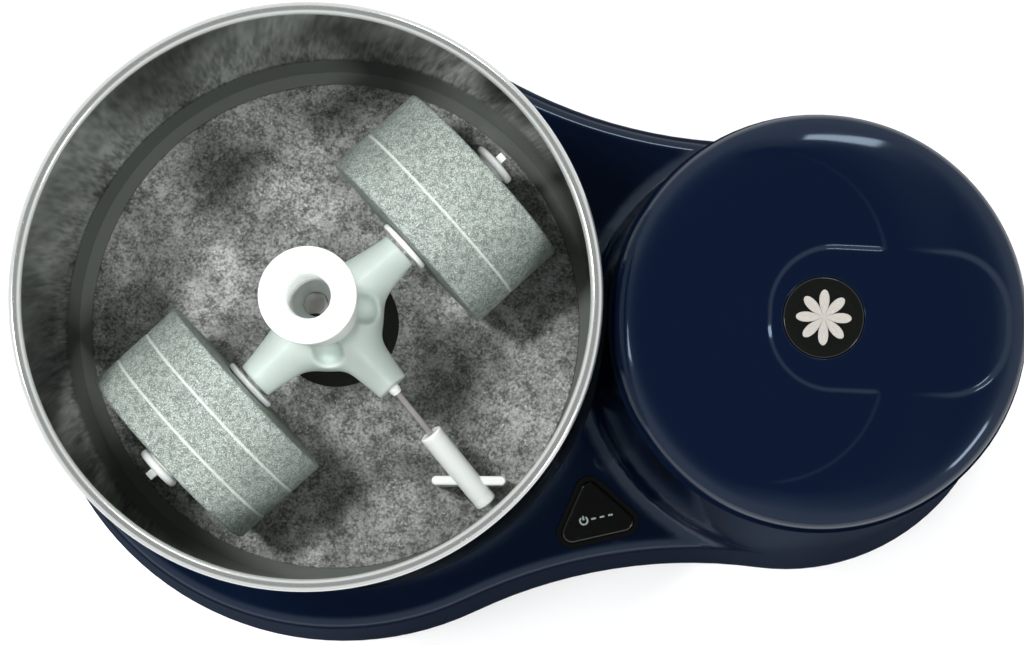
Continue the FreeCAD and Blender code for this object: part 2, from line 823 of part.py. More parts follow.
def make_spindle_pedestal():
    """Casting that holds the post's square end and the spindle bearings."""
    top = plate_top + pedestal_height
    cast = cylinder(pedestal_radius, plate_top, top)
    foot = cylinder(pedestal_radius + pedestal_foot_width, plate_top, plate_top + pedestal_foot_thickness)
    cast = cast.fuse(foot)
    cast = cast.cut(cylinder(bearing_outer_radius, bearing_floor(), top))
    side = post_square + 2 * socket_clearance
    socket = upright_box(side, side, post_bottom - face_gap, cutter_reach)
    socket.translate(DRUM)
    round_limit = cylinder(post_radius + socket_clearance, plate_top, top)
    return cast.cut(socket.common(round_limit))


def bearing_floor():
    """Seat of the lower spindle bearing, above the post's socket."""
    return plate_top + socket_depth + socket_web


def bearing_width():
    """Two bearings share the height left in the pedestal."""
    return (plate_top + pedestal_height - bearing_floor() - bearing_spacer) / 2


def grooved_bearing(outer, shaft, bottom, width, centre):
    """Ball bearing drawn as one ring with a shallow groove in each face between its two races."""
    inner = shaft + running_clearance
    whole = ring(outer, inner, bottom, bottom + width, centre)
    middle = (outer + inner) / 2
    for low, high in ((bottom, bottom + bearing_groove_depth),
                      (bottom + width - bearing_groove_depth, bottom + width)):
        groove = ring(middle + bearing_groove_half, middle - bearing_groove_half, low, high, centre)
        whole = whole.cut(groove)
    return whole


def make_spindle_tube():
    """Hollow spindle round the post, through the bearings and the well floor."""
    bore = post_radius + spindle_bore_clearance
    return ring(spindle_radius, bore, bearing_floor() + bearing_spacer, spindle_top - dog_thickness)


def make_drive_dog():
    """Three-lobed driver on top of the spindle."""
    top = spindle_top
    dog = dog_lobes(0, top - dog_thickness, top)
    return dog.cut(cylinder(post_radius + spindle_bore_clearance, 0, top))


def make_driven_pulley():
    """Large pulley: grooved rim, thin web with lightening holes and a hub on the spindle."""
    rim_top = pulley_top()
    web_bottom = rim_top - pulley_web_thickness
    rim_inner = pulley_rim_radius - pulley_rim_thickness
    web = ring(rim_inner, spindle_radius, web_bottom, rim_top)
    middle = (pulley_rim_radius + pedestal_radius) / 2
    for index in range(pulley_hole_count):
        place = polar(DRUM, middle, (index + 0.5) * 360 / pulley_hole_count)
        web = web.cut(cylinder(pulley_hole_radius, web_bottom, rim_top, place))
    rim = ring(pulley_rim_radius, rim_inner, rim_top - pulley_rim_width, rim_top)
    for index in range(pulley_groove_count):
        height = belt_bottom() + (index + 0.5) * belt_width / pulley_groove_count
        rim = rim.cut(ring(pulley_rim_radius, pulley_rim_radius - pulley_groove_depth,
                           height - pulley_groove_half, height + pulley_groove_half))
    return web.fuse(rim)


def pulley_top():
    """Upper face of the large pulley, above the pedestal."""
    return plate_top + pedestal_height + pulley_web_gap + pulley_web_thickness


def belt_bottom():
    """Lower edge of the belt, centred on the driven pulley's rim."""
    return pulley_top() - pulley_rim_width / 2 - belt_width / 2


def belt_outline(extra):
    """Closed loop round both pulleys: two arcs and two straight runs."""
    large = pulley_rim_radius + belt_gap + extra
    small = motor_pulley_radius + belt_gap + extra
    lean = math.asin((large - small) / axis_distance)
    side = Vector(math.sin(lean), math.cos(lean), 0)
    upper = [DRUM + side * large, TOWER + side * small]
    lower = [Vector(p.x, -p.y, 0) for p in upper]
    edges = [
        Part.LineSegment(upper[0], upper[1]),
        Part.Arc(upper[1], TOWER + Vector(small, 0, 0), lower[1]),
        Part.LineSegment(lower[1], lower[0]),
        Part.Arc(lower[0], DRUM - Vector(large, 0, 0), upper[0]),
    ]
    return Part.Wire([edge.toShape() for edge in edges])


def make_drive_belt():
    """Flat ribbed belt from the motor pulley to the large pulley."""
    band = Part.Face(belt_outline(belt_thickness)).extrude(UP * belt_width)
    band = band.cut(Part.Face(belt_outline(0)).extrude(UP * belt_width))
    band.translate(UP * belt_bottom())
    return band


# ---- motor -------------------------------------------------------------------------------------

def bracket_top():
    """The bracket's upper face, where the motor stands."""
    return bracket_height + bracket_thickness


def stack_levels():
    """Bottom and top of the stator's stack."""
    bottom = bracket_top() + end_cap_depth
    return bottom, bottom + stator_stack


def motor_top():
    """Top of the upper end shield."""
    return stack_levels()[1] + end_cap_depth


def make_motor_bracket():
    """Steel disc that carries the motor, cut away for air."""
    top = bracket_top()
    plate = ring(bracket_radius, motor_bearing_radius + end_cap_wall, bracket_height, top, TOWER)
    for index in range(4):
        place = polar(TOWER, (bracket_radius + stator_radius) / 2, 90 * index)
        if index != 1:
            plate = plate.cut(cylinder(bracket_hole_radius, bracket_height, top, place))
    for place in mount_places():
        plate = plate.cut(cylinder(screw_shank_radius + screw_clearance, bracket_height, top, place))
    return plate


def make_motor_mounts():
    """Rubber rings between the shell's pillars and the bracket."""
    bore = screw_shank_radius + screw_clearance
    return [ring(mount_radius, bore, bracket_height - mount_height, bracket_height, place)
            for place in mount_places()]


def make_motor_screws():
    """Screws that hold the bracket down on its mounts."""
    screws = []
    top = bracket_top()
    for place in mount_places():
        head = cylinder(screw_head_radius, top, top + screw_head_height, place)
        shank = cylinder(screw_shank_radius, bracket_height - mount_height, top, place)
        screws.append(head.fuse(shank))
    return screws


def make_end_cap(upper):
    """Dished aluminium end shield with a bearing seat."""
    stack_bottom, stack_top = stack_levels()
    low, high = (stack_top, motor_top()) if upper else (bracket_top(), stack_bottom)
    outer = stator_radius - end_cap_setback
    shield = cylinder(outer, low, high, TOWER)
    seat_depth = motor_bearing_width + bearing_seat_gap
    if upper:
        hollow = cylinder(outer - end_cap_wall, low, high - end_cap_wall, TOWER)
        seat_low, seat_high = high - seat_depth, high
    else:
        hollow = cylinder(outer - end_cap_wall, low + end_cap_wall, high, TOWER)
        seat_low, seat_high = low, low + seat_depth
    seat = cylinder(motor_bearing_radius + end_cap_wall, seat_low, seat_high, TOWER)
    bearing_low = motor_bearing_bottom(upper)
    bore = cylinder(motor_bearing_radius, bearing_low, bearing_low + motor_bearing_width, TOWER)
    shaft_hole = cylinder(motor_shaft_radius + end_cap_setback, low, high, TOWER)
    return shield.cut(hollow).fuse(seat).cut(bore).cut(shaft_hole)


def motor_bearing_bottom(upper):
    """Lower face of a motor bearing, inside its end shield."""
    if upper:
        return motor_top() - bearing_seat_gap - motor_bearing_width
    return bracket_top() + bearing_seat_gap


def make_motor_bearing(upper):
    """Ball bearing in an end shield."""
    bottom = motor_bearing_bottom(upper)
    return grooved_bearing(motor_bearing_radius, motor_shaft_radius, bottom, motor_bearing_width, TOWER)


def make_stator_core():
    """Laminated stack with open slots round its bore."""
    stack_bottom, stack_top = stack_levels()
    core = ring(stator_radius, stator_bore_radius, stack_bottom, stack_top, TOWER)
    for index in range(stator_slots):
        slot = Part.makeBox(stator_bore_radius + stator_slot_depth, stator_slot_width, stator_stack)
        slot.translate(TOWER + Vector(0, -stator_slot_width / 2, stack_bottom))
        core = core.cut(about(slot, TOWER, index * 360 / stator_slots))
    return core


def make_stator_coils():
    """The windings' two end turns, above and below the stack."""
    stack_bottom, stack_top = stack_levels()
    inner = stator_bore_radius + coil_gap
    outer = inner + coil_width
    height = end_cap_depth - end_cap_wall - coil_end_gap
    coils = []
    for bottom in (stack_bottom - height, stack_top):
        coil = ring(outer, inner, bottom, bottom + height, TOWER)
        free_end = bottom if bottom < stack_bottom else bottom + height
        edges = [edge for edge in coil.Edges if abs(edge.BoundBox.ZMin - free_end) < 0.01
                 and abs(edge.BoundBox.ZMax - free_end) < 0.01]
        coils.append(coil.makeFillet(coil_edge, edges))
    return coils


def make_rotor_core():
    """Squirrel-cage rotor with its two end rings."""
    stack_bottom, stack_top = stack_levels()
    radius = stator_bore_radius - air_gap
    core = ring(radius, motor_shaft_radius, stack_bottom, stack_top, TOWER)
    outer = radius - rotor_ring_setback
    for bottom in (stack_bottom - rotor_ring_height, stack_top):
        core = core.fuse(ring(outer, outer - rotor_ring_width, bottom, bottom + rotor_ring_height, TOWER))
    return core


def make_motor_shaft():
    """Vertical shaft from the pulley to the upper bearing."""
    shaft = cylinder(motor_shaft_radius, motor_shaft_bottom, motor_shaft_top, TOWER)
    ends = [edge for edge in shaft.Edges if isinstance(edge.Curve, Part.Circle)]
    return shaft.makeChamfer(shaft_chamfer, ends)


def make_motor_fan():
    """Cooling fan under the bracket: a hub, a disc and straight blades."""
    top = bracket_height - fan_gap
    bottom = top - fan_height
    hub = motor_shaft_radius + fan_hub_wall
    start = hub - fan_hub_overlap
    fan = ring(hub, motor_shaft_radius, bottom, top, TOWER)
    fan = fan.fuse(ring(fan_radius, start, bottom, bottom + fan_plate, TOWER))
    for index in range(fan_blades):
        blade = Part.makeBox(fan_radius - start, fan_plate, fan_height)
        blade.translate(TOWER + Vector(start, -fan_plate / 2, bottom))
        fan = fan.fuse(about(blade, TOWER, index * 360 / fan_blades))
    return fan.removeSplitter()


def make_motor_pulley():
    """Small pulley with a flange above and below the belt."""
    bottom = belt_bottom() + belt_width / 2 - motor_pulley_length / 2
    top = bottom + motor_pulley_length
    body = ring(motor_pulley_radius, motor_shaft_radius, bottom, top, TOWER)
    wide = motor_pulley_radius + belt_gap + belt_thickness + motor_pulley_rise
    for level in (bottom, top - motor_pulley_flange):
        body = body.fuse(ring(wide, motor_shaft_radius, level, level + motor_pulley_flange, TOWER))
    return body.removeSplitter()


def capacitor_place():
    """The run capacitor stands on the bracket, behind the motor."""
    return polar(TOWER, capacitor_distance, 90)


def make_capacitor():
    """Round can with a domed top."""
    base = bracket_top()
    can = cylinder(capacitor_radius, base, base + capacitor_height, capacitor_place())
    top = [edge for edge in can.Edges if edge.BoundBox.ZMin > base + capacitor_height - 0.01]
    return can.makeFillet(capacitor_edge, top)


def make_capacitor_strap():
    """Band round the capacitor with two feet on the bracket."""
    base = bracket_top()
    outer = capacitor_radius + strap_thickness
    band = ring(outer, capacitor_radius, base, base + strap_height, capacitor_place())
    feet = upright_box(2 * (outer + strap_foot_width), strap_foot_width, base, base + strap_thickness)
    feet.translate(capacitor_place())
    return band.fuse(feet.cut(cylinder(capacitor_radius, base, base + strap_height, capacitor_place())))


# ---- cord inlet --------------------------------------------------------------------------------

def gland_body(bore):
    """Round bush through the back of the tower's foot, with a flange on the outside."""
    outward = polar(Vector(), 1, gland_angle)
    wall = tower_radius(gland_height)
    start = TOWER + outward * (wall - 3 * shell_wall) + UP * gland_height
    body = Part.makeCylinder(gland_radius, 3 * shell_wall + gland_proud, start, outward)
    if bore:
        body = body.cut(Part.makeCylinder(bore, cutter_reach, start, outward))
        nose = start + outward * (3 * shell_wall + gland_proud)
        rim = [edge for edge in body.Edges if isinstance(edge.Curve, Part.Circle)
               and edge.Curve.Center.distanceToPoint(nose) < 0.01 and edge.Curve.Radius > bore + 1]
        body = body.makeFillet(gland_edge, rim)
    return body


# ---- roller stones and their frame -------------------------------------------------------------

def arm_section(distance, width, height, drop):
    """Upright oval section of an arm at a distance from the drum axis."""
    oval = Part.Ellipse(Vector(), max(width, height) / 2, min(width, height) / 2)
    wire = Part.Wire(oval.toShape())
    if height > width:
        wire.rotate(Vector(), UP, 90)
    wire.rotate(Vector(), Vector(1, 0, 0), 90)
    wire.rotate(Vector(), UP, 90)
    wire.translate(Vector(distance, 0, drop))
    return wire


def arm_form(reach, tip_width, tip_height):
    """Trumpet-shaped arm drawn along +X, wide at the hub and narrow at its flat end."""
    sections = [
        arm_section(frame_hub_radius / 3, arm_root_width, arm_root_height, arm_root_lift),
        arm_section(frame_hub_radius + arm_middle * (reach - frame_hub_radius),
                    tip_width + (arm_root_width - tip_width) * arm_middle_width,
                    tip_height + (arm_root_height - tip_height) * arm_middle_height,
                    arm_root_lift * arm_middle),
        arm_section(reach, tip_width, tip_height, 0),
    ]
    return Part.makeLoft(sections, True, False)


def wiper_arm():
    """Third arm, a little slimmer than the rollers' arms."""
    form = arm_form(arm_reach, arm_tip_width * wiper_arm_slimness, arm_tip_height)
    return laid_out(form, wiper_arm_angle, axle_height)


def make_roller_frame():
    """Three arms on a hub that slides over the drum's stem and sits keyed on the post."""
    hub = turned([(0, frame_hub_bottom), (frame_hub_radius, frame_hub_bottom),
                  (frame_hub_radius, stem_top - 4), (frame_hub_top_radius, frame_hub_top),
                  (0, frame_hub_top)])
    arms = [laid_out(arm_form(arm_reach, arm_tip_width, arm_tip_height), roller_angle + turn, axle_height)
            for turn in (0, 180)]
    frame = hub.fuse(arms + [wiper_arm()])
    pocket_top = axle_height + arm_root_height / 2 + web_pocket_rise
    for middle in ((roller_angle + wiper_arm_angle) / 2, (roller_angle + wiper_arm_angle) / 2 - 90):
        place = polar(DRUM, frame_hub_radius + web_pocket_radius * 0.6, middle)
        frame = frame.cut(cylinder(web_pocket_radius, pocket_top - web_pocket_depth, pocket_top, place))
    cavity = stem_outer_radius + frame_cavity_clearance
    frame = frame.cut(cylinder(cavity, 0, post_shoulder + face_gap))
    bore = cylinder(post_tip_radius + running_clearance, post_shoulder, frame_hub_top)
    frame = frame.cut(bore.common(keyed_bar(running_clearance, post_shoulder, frame_hub_top)))
    for turn in (0, 180):
        frame = frame.cut(laid_out(along_x(axle_radius, frame_hub_radius, 2 * arm_reach),
                                   roller_angle + turn, axle_height))
    return frame.cut(make_wiper_rod())


def make_axle(turn):
    """Axle fixed in an arm, with a bare stretch before the flange."""
    end = cap_end() - cap_skin
    return laid_out(along_x(axle_radius, frame_hub_radius, end), turn, axle_height)


def cap_end():
    """Distance from the drum axis to an outer cap's outside."""
    return roller_end + face_gap + cap_boss_length + outer_cap_thickness


def make_roller_stone(turn, grooves):
    """Granite roller with eased edges and shallow grooves round it."""
    points = [(roller_start, roller_bore_radius), (roller_start, roller_radius - roller_chamfer),
              (roller_start + roller_chamfer, roller_radius)]
    for offset in grooves:
        middle = roller_distance + offset
        points += [(middle - groove_width / 2, roller_radius), (middle, roller_radius - groove_depth),
                   (middle + groove_width / 2, roller_radius)]
    points += [(roller_end - roller_chamfer, roller_radius), (roller_end, roller_radius - roller_chamfer),
               (roller_end, roller_bore_radius)]
    outline = [Vector(distance, 0, radius) for distance, radius in points]
    face = Part.Face(Part.makePolygon(outline + outline[:1]))
    return laid_out(face.revolve(Vector(), Vector(1, 0, 0), 360), turn, axle_height)


def make_roller_bush(turn):
    """Plastic lining pressed into a stone's bore and running on the axle."""
    lining = along_x(roller_bore_radius, roller_start, roller_end)
    lining = lining.cut(along_x(axle_radius + running_clearance, roller_start, roller_end))
    return laid_out(lining, turn, axle_height)


def make_inner_flange(turn):
    """Washer between an arm and its stone, with a rounded rim."""
    end = roller_start - face_gap
    start = end - inner_flange_thickness
    washer = along_x(inner_flange_radius, start, end)
    washer = washer.makeFillet(inner_flange_thickness * 0.35, round_edges(washer, inner_flange_radius))
    return laid_out(washer.cut(along_x(axle_radius, start, end)), turn, axle_height)


def round_edges(shape, radius):
    """Full-circle edges of one radius."""
    return [edge for edge in shape.Edges
            if isinstance(edge.Curve, Part.Circle) and abs(edge.Curve.Radius - radius) < 0.01]


def make_outer_cap(turn):
    """Rounded disc on a short boss, over the axle's end."""
    end = cap_end()
    disc = along_x(outer_cap_radius, end - outer_cap_thickness, end)
    disc = disc.makeFillet(outer_cap_thickness * 0.38, round_edges(disc, outer_cap_radius))
    cap = disc.fuse(along_x(cap_boss_radius, roller_end + face_gap, end - outer_cap_thickness))
    return laid_out(cap.cut(along_x(axle_radius, roller_end, end - cap_skin)), turn, axle_height)


def make_axle_pin(turn):
    """Square stub that stands out of a cap."""
    pin = Part.makeBox(axle_pin_length, axle_pin_width, axle_pin_width)
    pin.translate(Vector(cap_end(), -axle_pin_width / 2, -axle_pin_width / 2))
    return laid_out(pin, turn, axle_height)


def make_lock_knob():
    """Flanged hub that clamps the frame, with rings in its bore."""
    bottom = frame_hub_top + face_gap
    flange_bottom = knob_top - knob_flange_thickness
    knob = cylinder(knob_neck_radius, bottom, knob_top)
    flange = cylinder(knob_radius, flange_bottom, knob_top)
    flange = flange.makeFillet(knob_flange_edge, round_edges(flange, knob_radius))
    knob = knob.fuse(flange)
    knob = knob.cut(cylinder(knob_bore_radius, knob_bore_floor, knob_top))
    pitch = (knob_top - knob_bore_floor) / (knob_ring_count + 1.5)
    for index in range(knob_ring_count):
        level = knob_bore_floor + (index + 1) * pitch
        knob = knob.cut(cylinder(knob_bore_radius + knob_ring_depth, level, level + pitch * 0.45))
    return knob.cut(cylinder(post_tip_radius + running_clearance, bottom, knob_top))


# ---- wiper -------------------------------------------------------------------------------------

def wiper_anchor():
    """Where the rod leaves the third arm."""
    return polar(DRUM, arm_reach - 2, wiper_arm_angle, wiper_start_height)


def wiper_direction():
    """Unit vector along the rod, outwards and down."""
    heading = math.radians(wiper_heading)
    slope = math.radians(wiper_slope)
    return Vector(math.cos(slope) * math.cos(heading), math.cos(slope) * math.sin(heading),
                  -math.sin(slope))


def wiper_line(shape):
    """Shape drawn along +X from the origin, laid along the rod."""
    copy = shape.copy()
    copy.rotate(Vector(), Vector(0, 1, 0), wiper_slope)
    copy.rotate(Vector(), UP, wiper_heading)
    copy.translate(wiper_anchor())
    return copy


def make_wiper_ferrule():
    """Square collar where the rod enters the arm."""
    length = ferrule_root + ferrule_length
    block = Part.makeBox(length, ferrule_width, ferrule_width)
    block.translate(Vector(0, -ferrule_width / 2, -ferrule_width / 2))
    block = wiper_line(block.cut(along_x(rod_radius, 0, length)))
    return block.cut(wiper_arm())


def make_wiper_rod():
    """Thin steel rod fixed in the arm."""
    return wiper_line(along_x(rod_radius, -rod_root, rod_length))


def make_wiper_sleeve():
    """Plastic sleeve that turns on the rod."""
    end = sleeve_start + sleeve_length
    tube = along_x(sleeve_radius, sleeve_start, end)
    tube = tube.makeFillet(sleeve_edge, round_edges(tube, sleeve_radius))
    bore = along_x(rod_radius + running_clearance, sleeve_start, rod_length + face_gap)
    return wiper_line(tube.cut(bore)).cut(blade_block())


def blade_block():
    """Upright plate with rounded ends, across the sleeve."""
    centre = wiper_anchor() + wiper_direction() * blade_along
    half = blade_length / 2 - blade_thickness / 2
    bottom = floor_top + blade_floor_gap
    plate = Part.makeBox(2 * half, blade_thickness, blade_height)
    plate.translate(Vector(-half, -blade_thickness / 2, 0))
    ends = [Part.makeCylinder(blade_thickness / 2, blade_height, Vector(side * half, 0, 0))
            for side in (-1, 1)]
    plate = plate.fuse(ends).removeSplitter()
    plate.rotate(Vector(), UP, blade_heading)
    plate.translate(Vector(centre.x, centre.y, bottom))
    return plate


def make_wiper_blade():
    """Blade that the sleeve passes into from both sides."""
    bore = along_x(rod_radius + running_clearance, 0, rod_length + face_gap)
    return blade_block().cut(wiper_line(bore))


# ---- all nodes ---------------------------------------------------------------------------------

def build_base():
    """Pieces that stay still: shell, plate, feet, cap, button surround and inlet."""
    save("base_shell", make_base_shell())
    save("base_plate", make_base_plate())
    save("rubber_feet", *make_feet())
    heads = plate_bottom - screw_head_height
    save("base_screws", *[screw_up(place, heads, base_screw_length) for place in base_post_places()])
    save("tower_cap", make_tower_cap())
    save("medallion", make_medallion())
    save("medallion_emblem", make_emblem())
    save("button_bezel", make_button_bezel())
    save("press_button", make_press_button())
    save("micro_switch", make_micro_switch())
    save("inlet_gland", gland_body(gland_bore_radius))


def build_motor():
    """Motor, its bracket and its pulley."""
    save("motor_bracket", make_motor_bracket())
    save("motor_mounts", *make_motor_mounts())
    save("motor_screws", *make_motor_screws())
    save("lower_end_cap", make_end_cap(False))
    save("upper_end_cap", make_end_cap(True))
    save("lower_motor_bearing", make_motor_bearing(False))
    save("upper_motor_bearing", make_motor_bearing(True))
    save("stator_core", make_stator_core())
    save("stator_coils", *make_stator_coils())
    save("rotor_core", make_rotor_core())
    save("motor_shaft", make_motor_shaft())
    save("motor_fan", make_motor_fan())
    save("motor_pulley", make_motor_pulley())
    save("capacitor", make_capacitor())
    save("capacitor_strap", make_capacitor_strap())


def build_drive():
    """Belt, large pulley, spindle and the post in the middle."""
    save("drive_belt", make_drive_belt())
    save("driven_pulley", make_driven_pulley())
    save("spindle_pedestal", make_spindle_pedestal())
    width = bearing_width()
    low = bearing_floor()
    save("lower_spindle_bearing", grooved_bearing(bearing_outer_radius, spindle_radius, low, width, DRUM))
    save("upper_spindle_bearing",
         grooved_bearing(bearing_outer_radius, spindle_radius, low + width + bearing_spacer, width, DRUM))
    save("spindle_tube", make_spindle_tube())
    save("drive_dog", make_drive_dog())
    save("centre_post", make_centre_post())


def build_drum():
    """Drum with its granite floor and stem."""
    save("drum_shell", make_drum_shell())
    save("drum_floor_stone", make_floor_stone())
    save("drum_seal_ring", make_drum_seal())
    save("drum_stem", make_drum_stem())
    save("stem_bush", make_stem_bush())
    save("drum_coupling", make_drum_coupling())


def build_rollers():
    """Frame, both stones with their axles, the knob and the wiper."""
    save("roller_frame", make_roller_frame())
    save("lock_knob", make_lock_knob())
    sets = (("first", roller_angle, first_groove_offsets),
            ("second", roller_angle + 180, second_groove_offsets))
    for name, turn, grooves in sets:
        save(name + "_roller_stone", make_roller_stone(turn, grooves))
        save(name + "_roller_bush", make_roller_bush(turn))
        save(name + "_axle", make_axle(turn))
        save(name + "_inner_flange", make_inner_flange(turn))
        save(name + "_outer_cap", make_outer_cap(turn))
        save(name + "_axle_pin", make_axle_pin(turn))
    save("wiper_ferrule", make_wiper_ferrule())
    save("wiper_rod", make_wiper_rod())
    save("wiper_sleeve", make_wiper_sleeve())
    save("wiper_blade", make_wiper_blade())


os.makedirs("parts", exist_ok=True)
build_base()
build_motor()
build_drive()
build_drum()
build_rollers()
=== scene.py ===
"""Table-top wet grinder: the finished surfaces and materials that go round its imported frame.

Every place comes from the frame's own boxes and vertices, in metres, with +Z up.
"""
import math
import bmesh
import bpy
import numpy as np
from mathutils import Matrix, Vector


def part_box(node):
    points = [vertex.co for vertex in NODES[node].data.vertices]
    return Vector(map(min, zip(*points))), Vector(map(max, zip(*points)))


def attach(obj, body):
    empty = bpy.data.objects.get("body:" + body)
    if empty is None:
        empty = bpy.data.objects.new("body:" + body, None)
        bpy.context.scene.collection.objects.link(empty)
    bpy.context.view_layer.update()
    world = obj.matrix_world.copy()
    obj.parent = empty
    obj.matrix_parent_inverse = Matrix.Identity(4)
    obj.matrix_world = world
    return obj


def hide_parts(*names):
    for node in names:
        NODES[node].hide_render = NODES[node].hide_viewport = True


bl_info = {
    "name": "Wet grinder surfaces",
    "version": (1, 0, 0),
    "blender": (4, 5, 0),
    "location": "View3D > Sidebar > Grinder",
    "description": "Drum, stones, holder, cap and button of a table-top wet grinder",
    "category": "Add Mesh",
}

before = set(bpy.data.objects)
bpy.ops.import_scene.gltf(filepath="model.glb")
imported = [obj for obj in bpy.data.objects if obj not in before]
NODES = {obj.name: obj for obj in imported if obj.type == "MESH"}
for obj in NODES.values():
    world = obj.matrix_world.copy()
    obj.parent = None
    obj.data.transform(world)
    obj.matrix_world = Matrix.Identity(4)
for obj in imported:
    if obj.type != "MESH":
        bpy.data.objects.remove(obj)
MM = 0.001
TURN = 2 * math.pi


# ---- places read from the frame ----

def span(name):
    """Lowest and highest corner of a node as arrays."""
    low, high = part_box(name)
    return np.array(low), np.array(high)


def middle(name):
    """Middle of a node's box."""
    low, high = span(name)
    return (low + high) / 2


def half_size(name):
    """Half of a node's box along each axis."""
    low, high = span(name)
    return (high - low) / 2


def levels(name):
    """Lowest and highest level of a node."""
    low, high = span(name)
    return low[2], high[2]


def places_of(name):
    """A node's vertices as rows of (x, y, z)."""
    vertices = NODES[name].data.vertices
    places = np.empty(len(vertices) * 3, np.float32)
    vertices.foreach_get("co", places)
    return places.reshape(-1, 3).astype(float)


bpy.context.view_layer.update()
DRUM = middle("drum_shell")
DRUM_AXIS = DRUM * (1, 1, 0)
DRUM_BOTTOM, RIM_TOP = levels("drum_shell")
RIM_RADIUS = half_size("drum_shell")[0]
HOLE_RADIUS = span("stem_bush")[1][0] - DRUM[0] + 2.5 * MM
FLOOR_BOTTOM, FLOOR_TOP = levels("drum_floor_stone")
FLOOR_RADIUS = half_size("drum_floor_stone")[0]
ROLLER_DIRECTION = np.array([math.sqrt(0.5), math.sqrt(0.5), 0.0])
TOWER = middle("tower_cap")
CAP_RADIUS = 86.0 * MM
CAP_SHOULDER = 188.0 * MM


# ---- surfaces ----

def new_mesh(name, vertices, faces):
    """Smooth-shaded mesh from arrays of vertices and faces."""
    mesh = bpy.data.meshes.new(name)
    mesh.from_pydata(vertices, [], faces)
    mesh.validate()
    mesh.polygons.foreach_set("use_smooth", np.ones(len(mesh.polygons), bool))
    mesh.update()
    return mesh


def grid_mesh(name, points, ring=True):
    """Mesh from a grid of points indexed [u][v], which always wraps round in v.

    Face (i, j) joins points (i, j), (i+1, j), (i+1, j+1), (i, j+1). A ring wraps in u too; otherwise
    the first and the last row are each closed by a fan onto their own mean point.
    """
    rows, columns = points.shape[:2]
    index = np.arange(rows * columns).reshape(rows, columns)
    u = np.arange(rows if ring else rows - 1)
    here, ahead = index[u], index[(u + 1) % rows]
    quads = np.stack([here, ahead, np.roll(ahead, -1, 1), np.roll(here, -1, 1)], -1)
    vertices, faces = points.reshape(-1, 3), quads.reshape(-1, 4).tolist()
    if not ring:
        for row, way in ((0, 1), (-1, -1)):
            fan = np.stack([index[row], np.roll(index[row], -1), np.full(columns, len(vertices))], -1)
            vertices = np.vstack([vertices, points[row].mean(axis=0)])
            faces += fan[:, ::way].tolist()
    return new_mesh(name, vertices, faces)


def spin(profile, segments, centre=DRUM):
    """Profile of (radius, height) rows carried round an upright axis.

    Point (i, j) is centre + (r_i cos t_j, r_i sin t_j, z_i) with t_j = 2 pi j / segments.
    """
    profile = np.asarray(profile, float)
    turn = np.arange(segments) * TURN / segments
    radius = profile[:, :1]
    height = np.repeat(profile[:, 1:], segments, axis=1)
    return np.stack([centre[0] + radius * np.cos(turn), centre[1] + radius * np.sin(turn), height], -1)


def along(profile, segments, start, direction):
    """Profile of (radius, distance) rows carried round a line.

    Point (i, j) is start + d_i * direction + r_i (side cos t_j + up sin t_j), where side and up are
    square to the line.
    """
    profile = np.asarray(profile, float)[..., None, None]
    direction = np.asarray(direction, float) / np.linalg.norm(direction)
    side = np.cross(direction, [0.0, 0.0, 1.0])
    side /= np.linalg.norm(side)
    turn = np.arange(segments)[:, None] * TURN / segments
    round_part = np.cos(turn) * side + np.sin(turn) * np.cross(side, direction)
    return np.asarray(start) + profile[:, 1] * direction + profile[:, 0] * round_part


def arc(centre, radius, start, end, steps):
    """Points on an arc in the (radius, height) plane: centre + radius (cos t, sin t)."""
    t = np.radians(np.linspace(start, end, steps))
    return np.stack([centre[0] + radius * np.cos(t), centre[1] + radius * np.sin(t)], -1)


def run_of(first, last, steps):
    """Evenly spaced points on a straight line, without its last point."""
    t = np.arange(steps)[:, None] / steps
    return np.asarray(first) * (1 - t) + np.asarray(last) * t


def smooth_step(low, high, value):
    """0 below low, 1 above high, and 3t^2 - 2t^3 between."""
    t = np.clip((value - low) / (high - low), 0, 1)
    return t * t * (3 - 2 * t)


# ---- shader node groups ----

class Signal:
    """An output socket. Arithmetic on it adds maths nodes to its own tree."""

    def __init__(self, socket):
        self.socket = socket

    def maths(self, operation, first, second=0.0):
        """Maths node in the socket's own tree."""
        return node(self.socket.id_data, "Math", (0, first), (1, second), operation=operation)

    def __add__(self, other):
        return self.maths("ADD", self, other)

    def __mul__(self, other):
        return self.maths("MULTIPLY", self, other)

    def __sub__(self, other):
        return self.maths("SUBTRACT", self, other)

    def __rsub__(self, other):
        return self.maths("SUBTRACT", other, self)

    def __truediv__(self, other):
        return self.maths("DIVIDE", self, other)

    def __rtruediv__(self, other):
        return self.maths("DIVIDE", other, self)

    __radd__, __rmul__ = __add__, __mul__


def node(tree, kind, *links, out=0, **settings):
    """One output of a new node. Links are (input, value or signal), settings its own fields."""
    made = tree.nodes.new("ShaderNode" + kind)
    for key, value in settings.items():
        setattr(made, key, value)
    for key, source in links:
        if isinstance(source, Signal):
            tree.links.new(source.socket, made.inputs[key])
        else:
            made.inputs[key].default_value = source
    return Signal(made.outputs[out])


def vector_maths(tree, operation, first, second, out=0):
    """Vector maths on two vectors, or a vector times a number for SCALE."""
    key = "Scale" if operation == "SCALE" else 1
    return node(tree, "VectorMath", (0, first), (key, second), out=out, operation=operation)


def object_place(tree, rate=1.0):
    """Object coordinates times a rate."""
    return vector_maths(tree, "SCALE", node(tree, "TexCoord", out="Object"), rate)


def noise(tree, place, detail, scale=1.0, roughness=0.5, distortion=0.0):
    """Value of noise at a place."""
    return node(tree, "TexNoise", ("Vector", place), ("Scale", scale), ("Detail", detail),
                ("Roughness", roughness), ("Distortion", distortion))


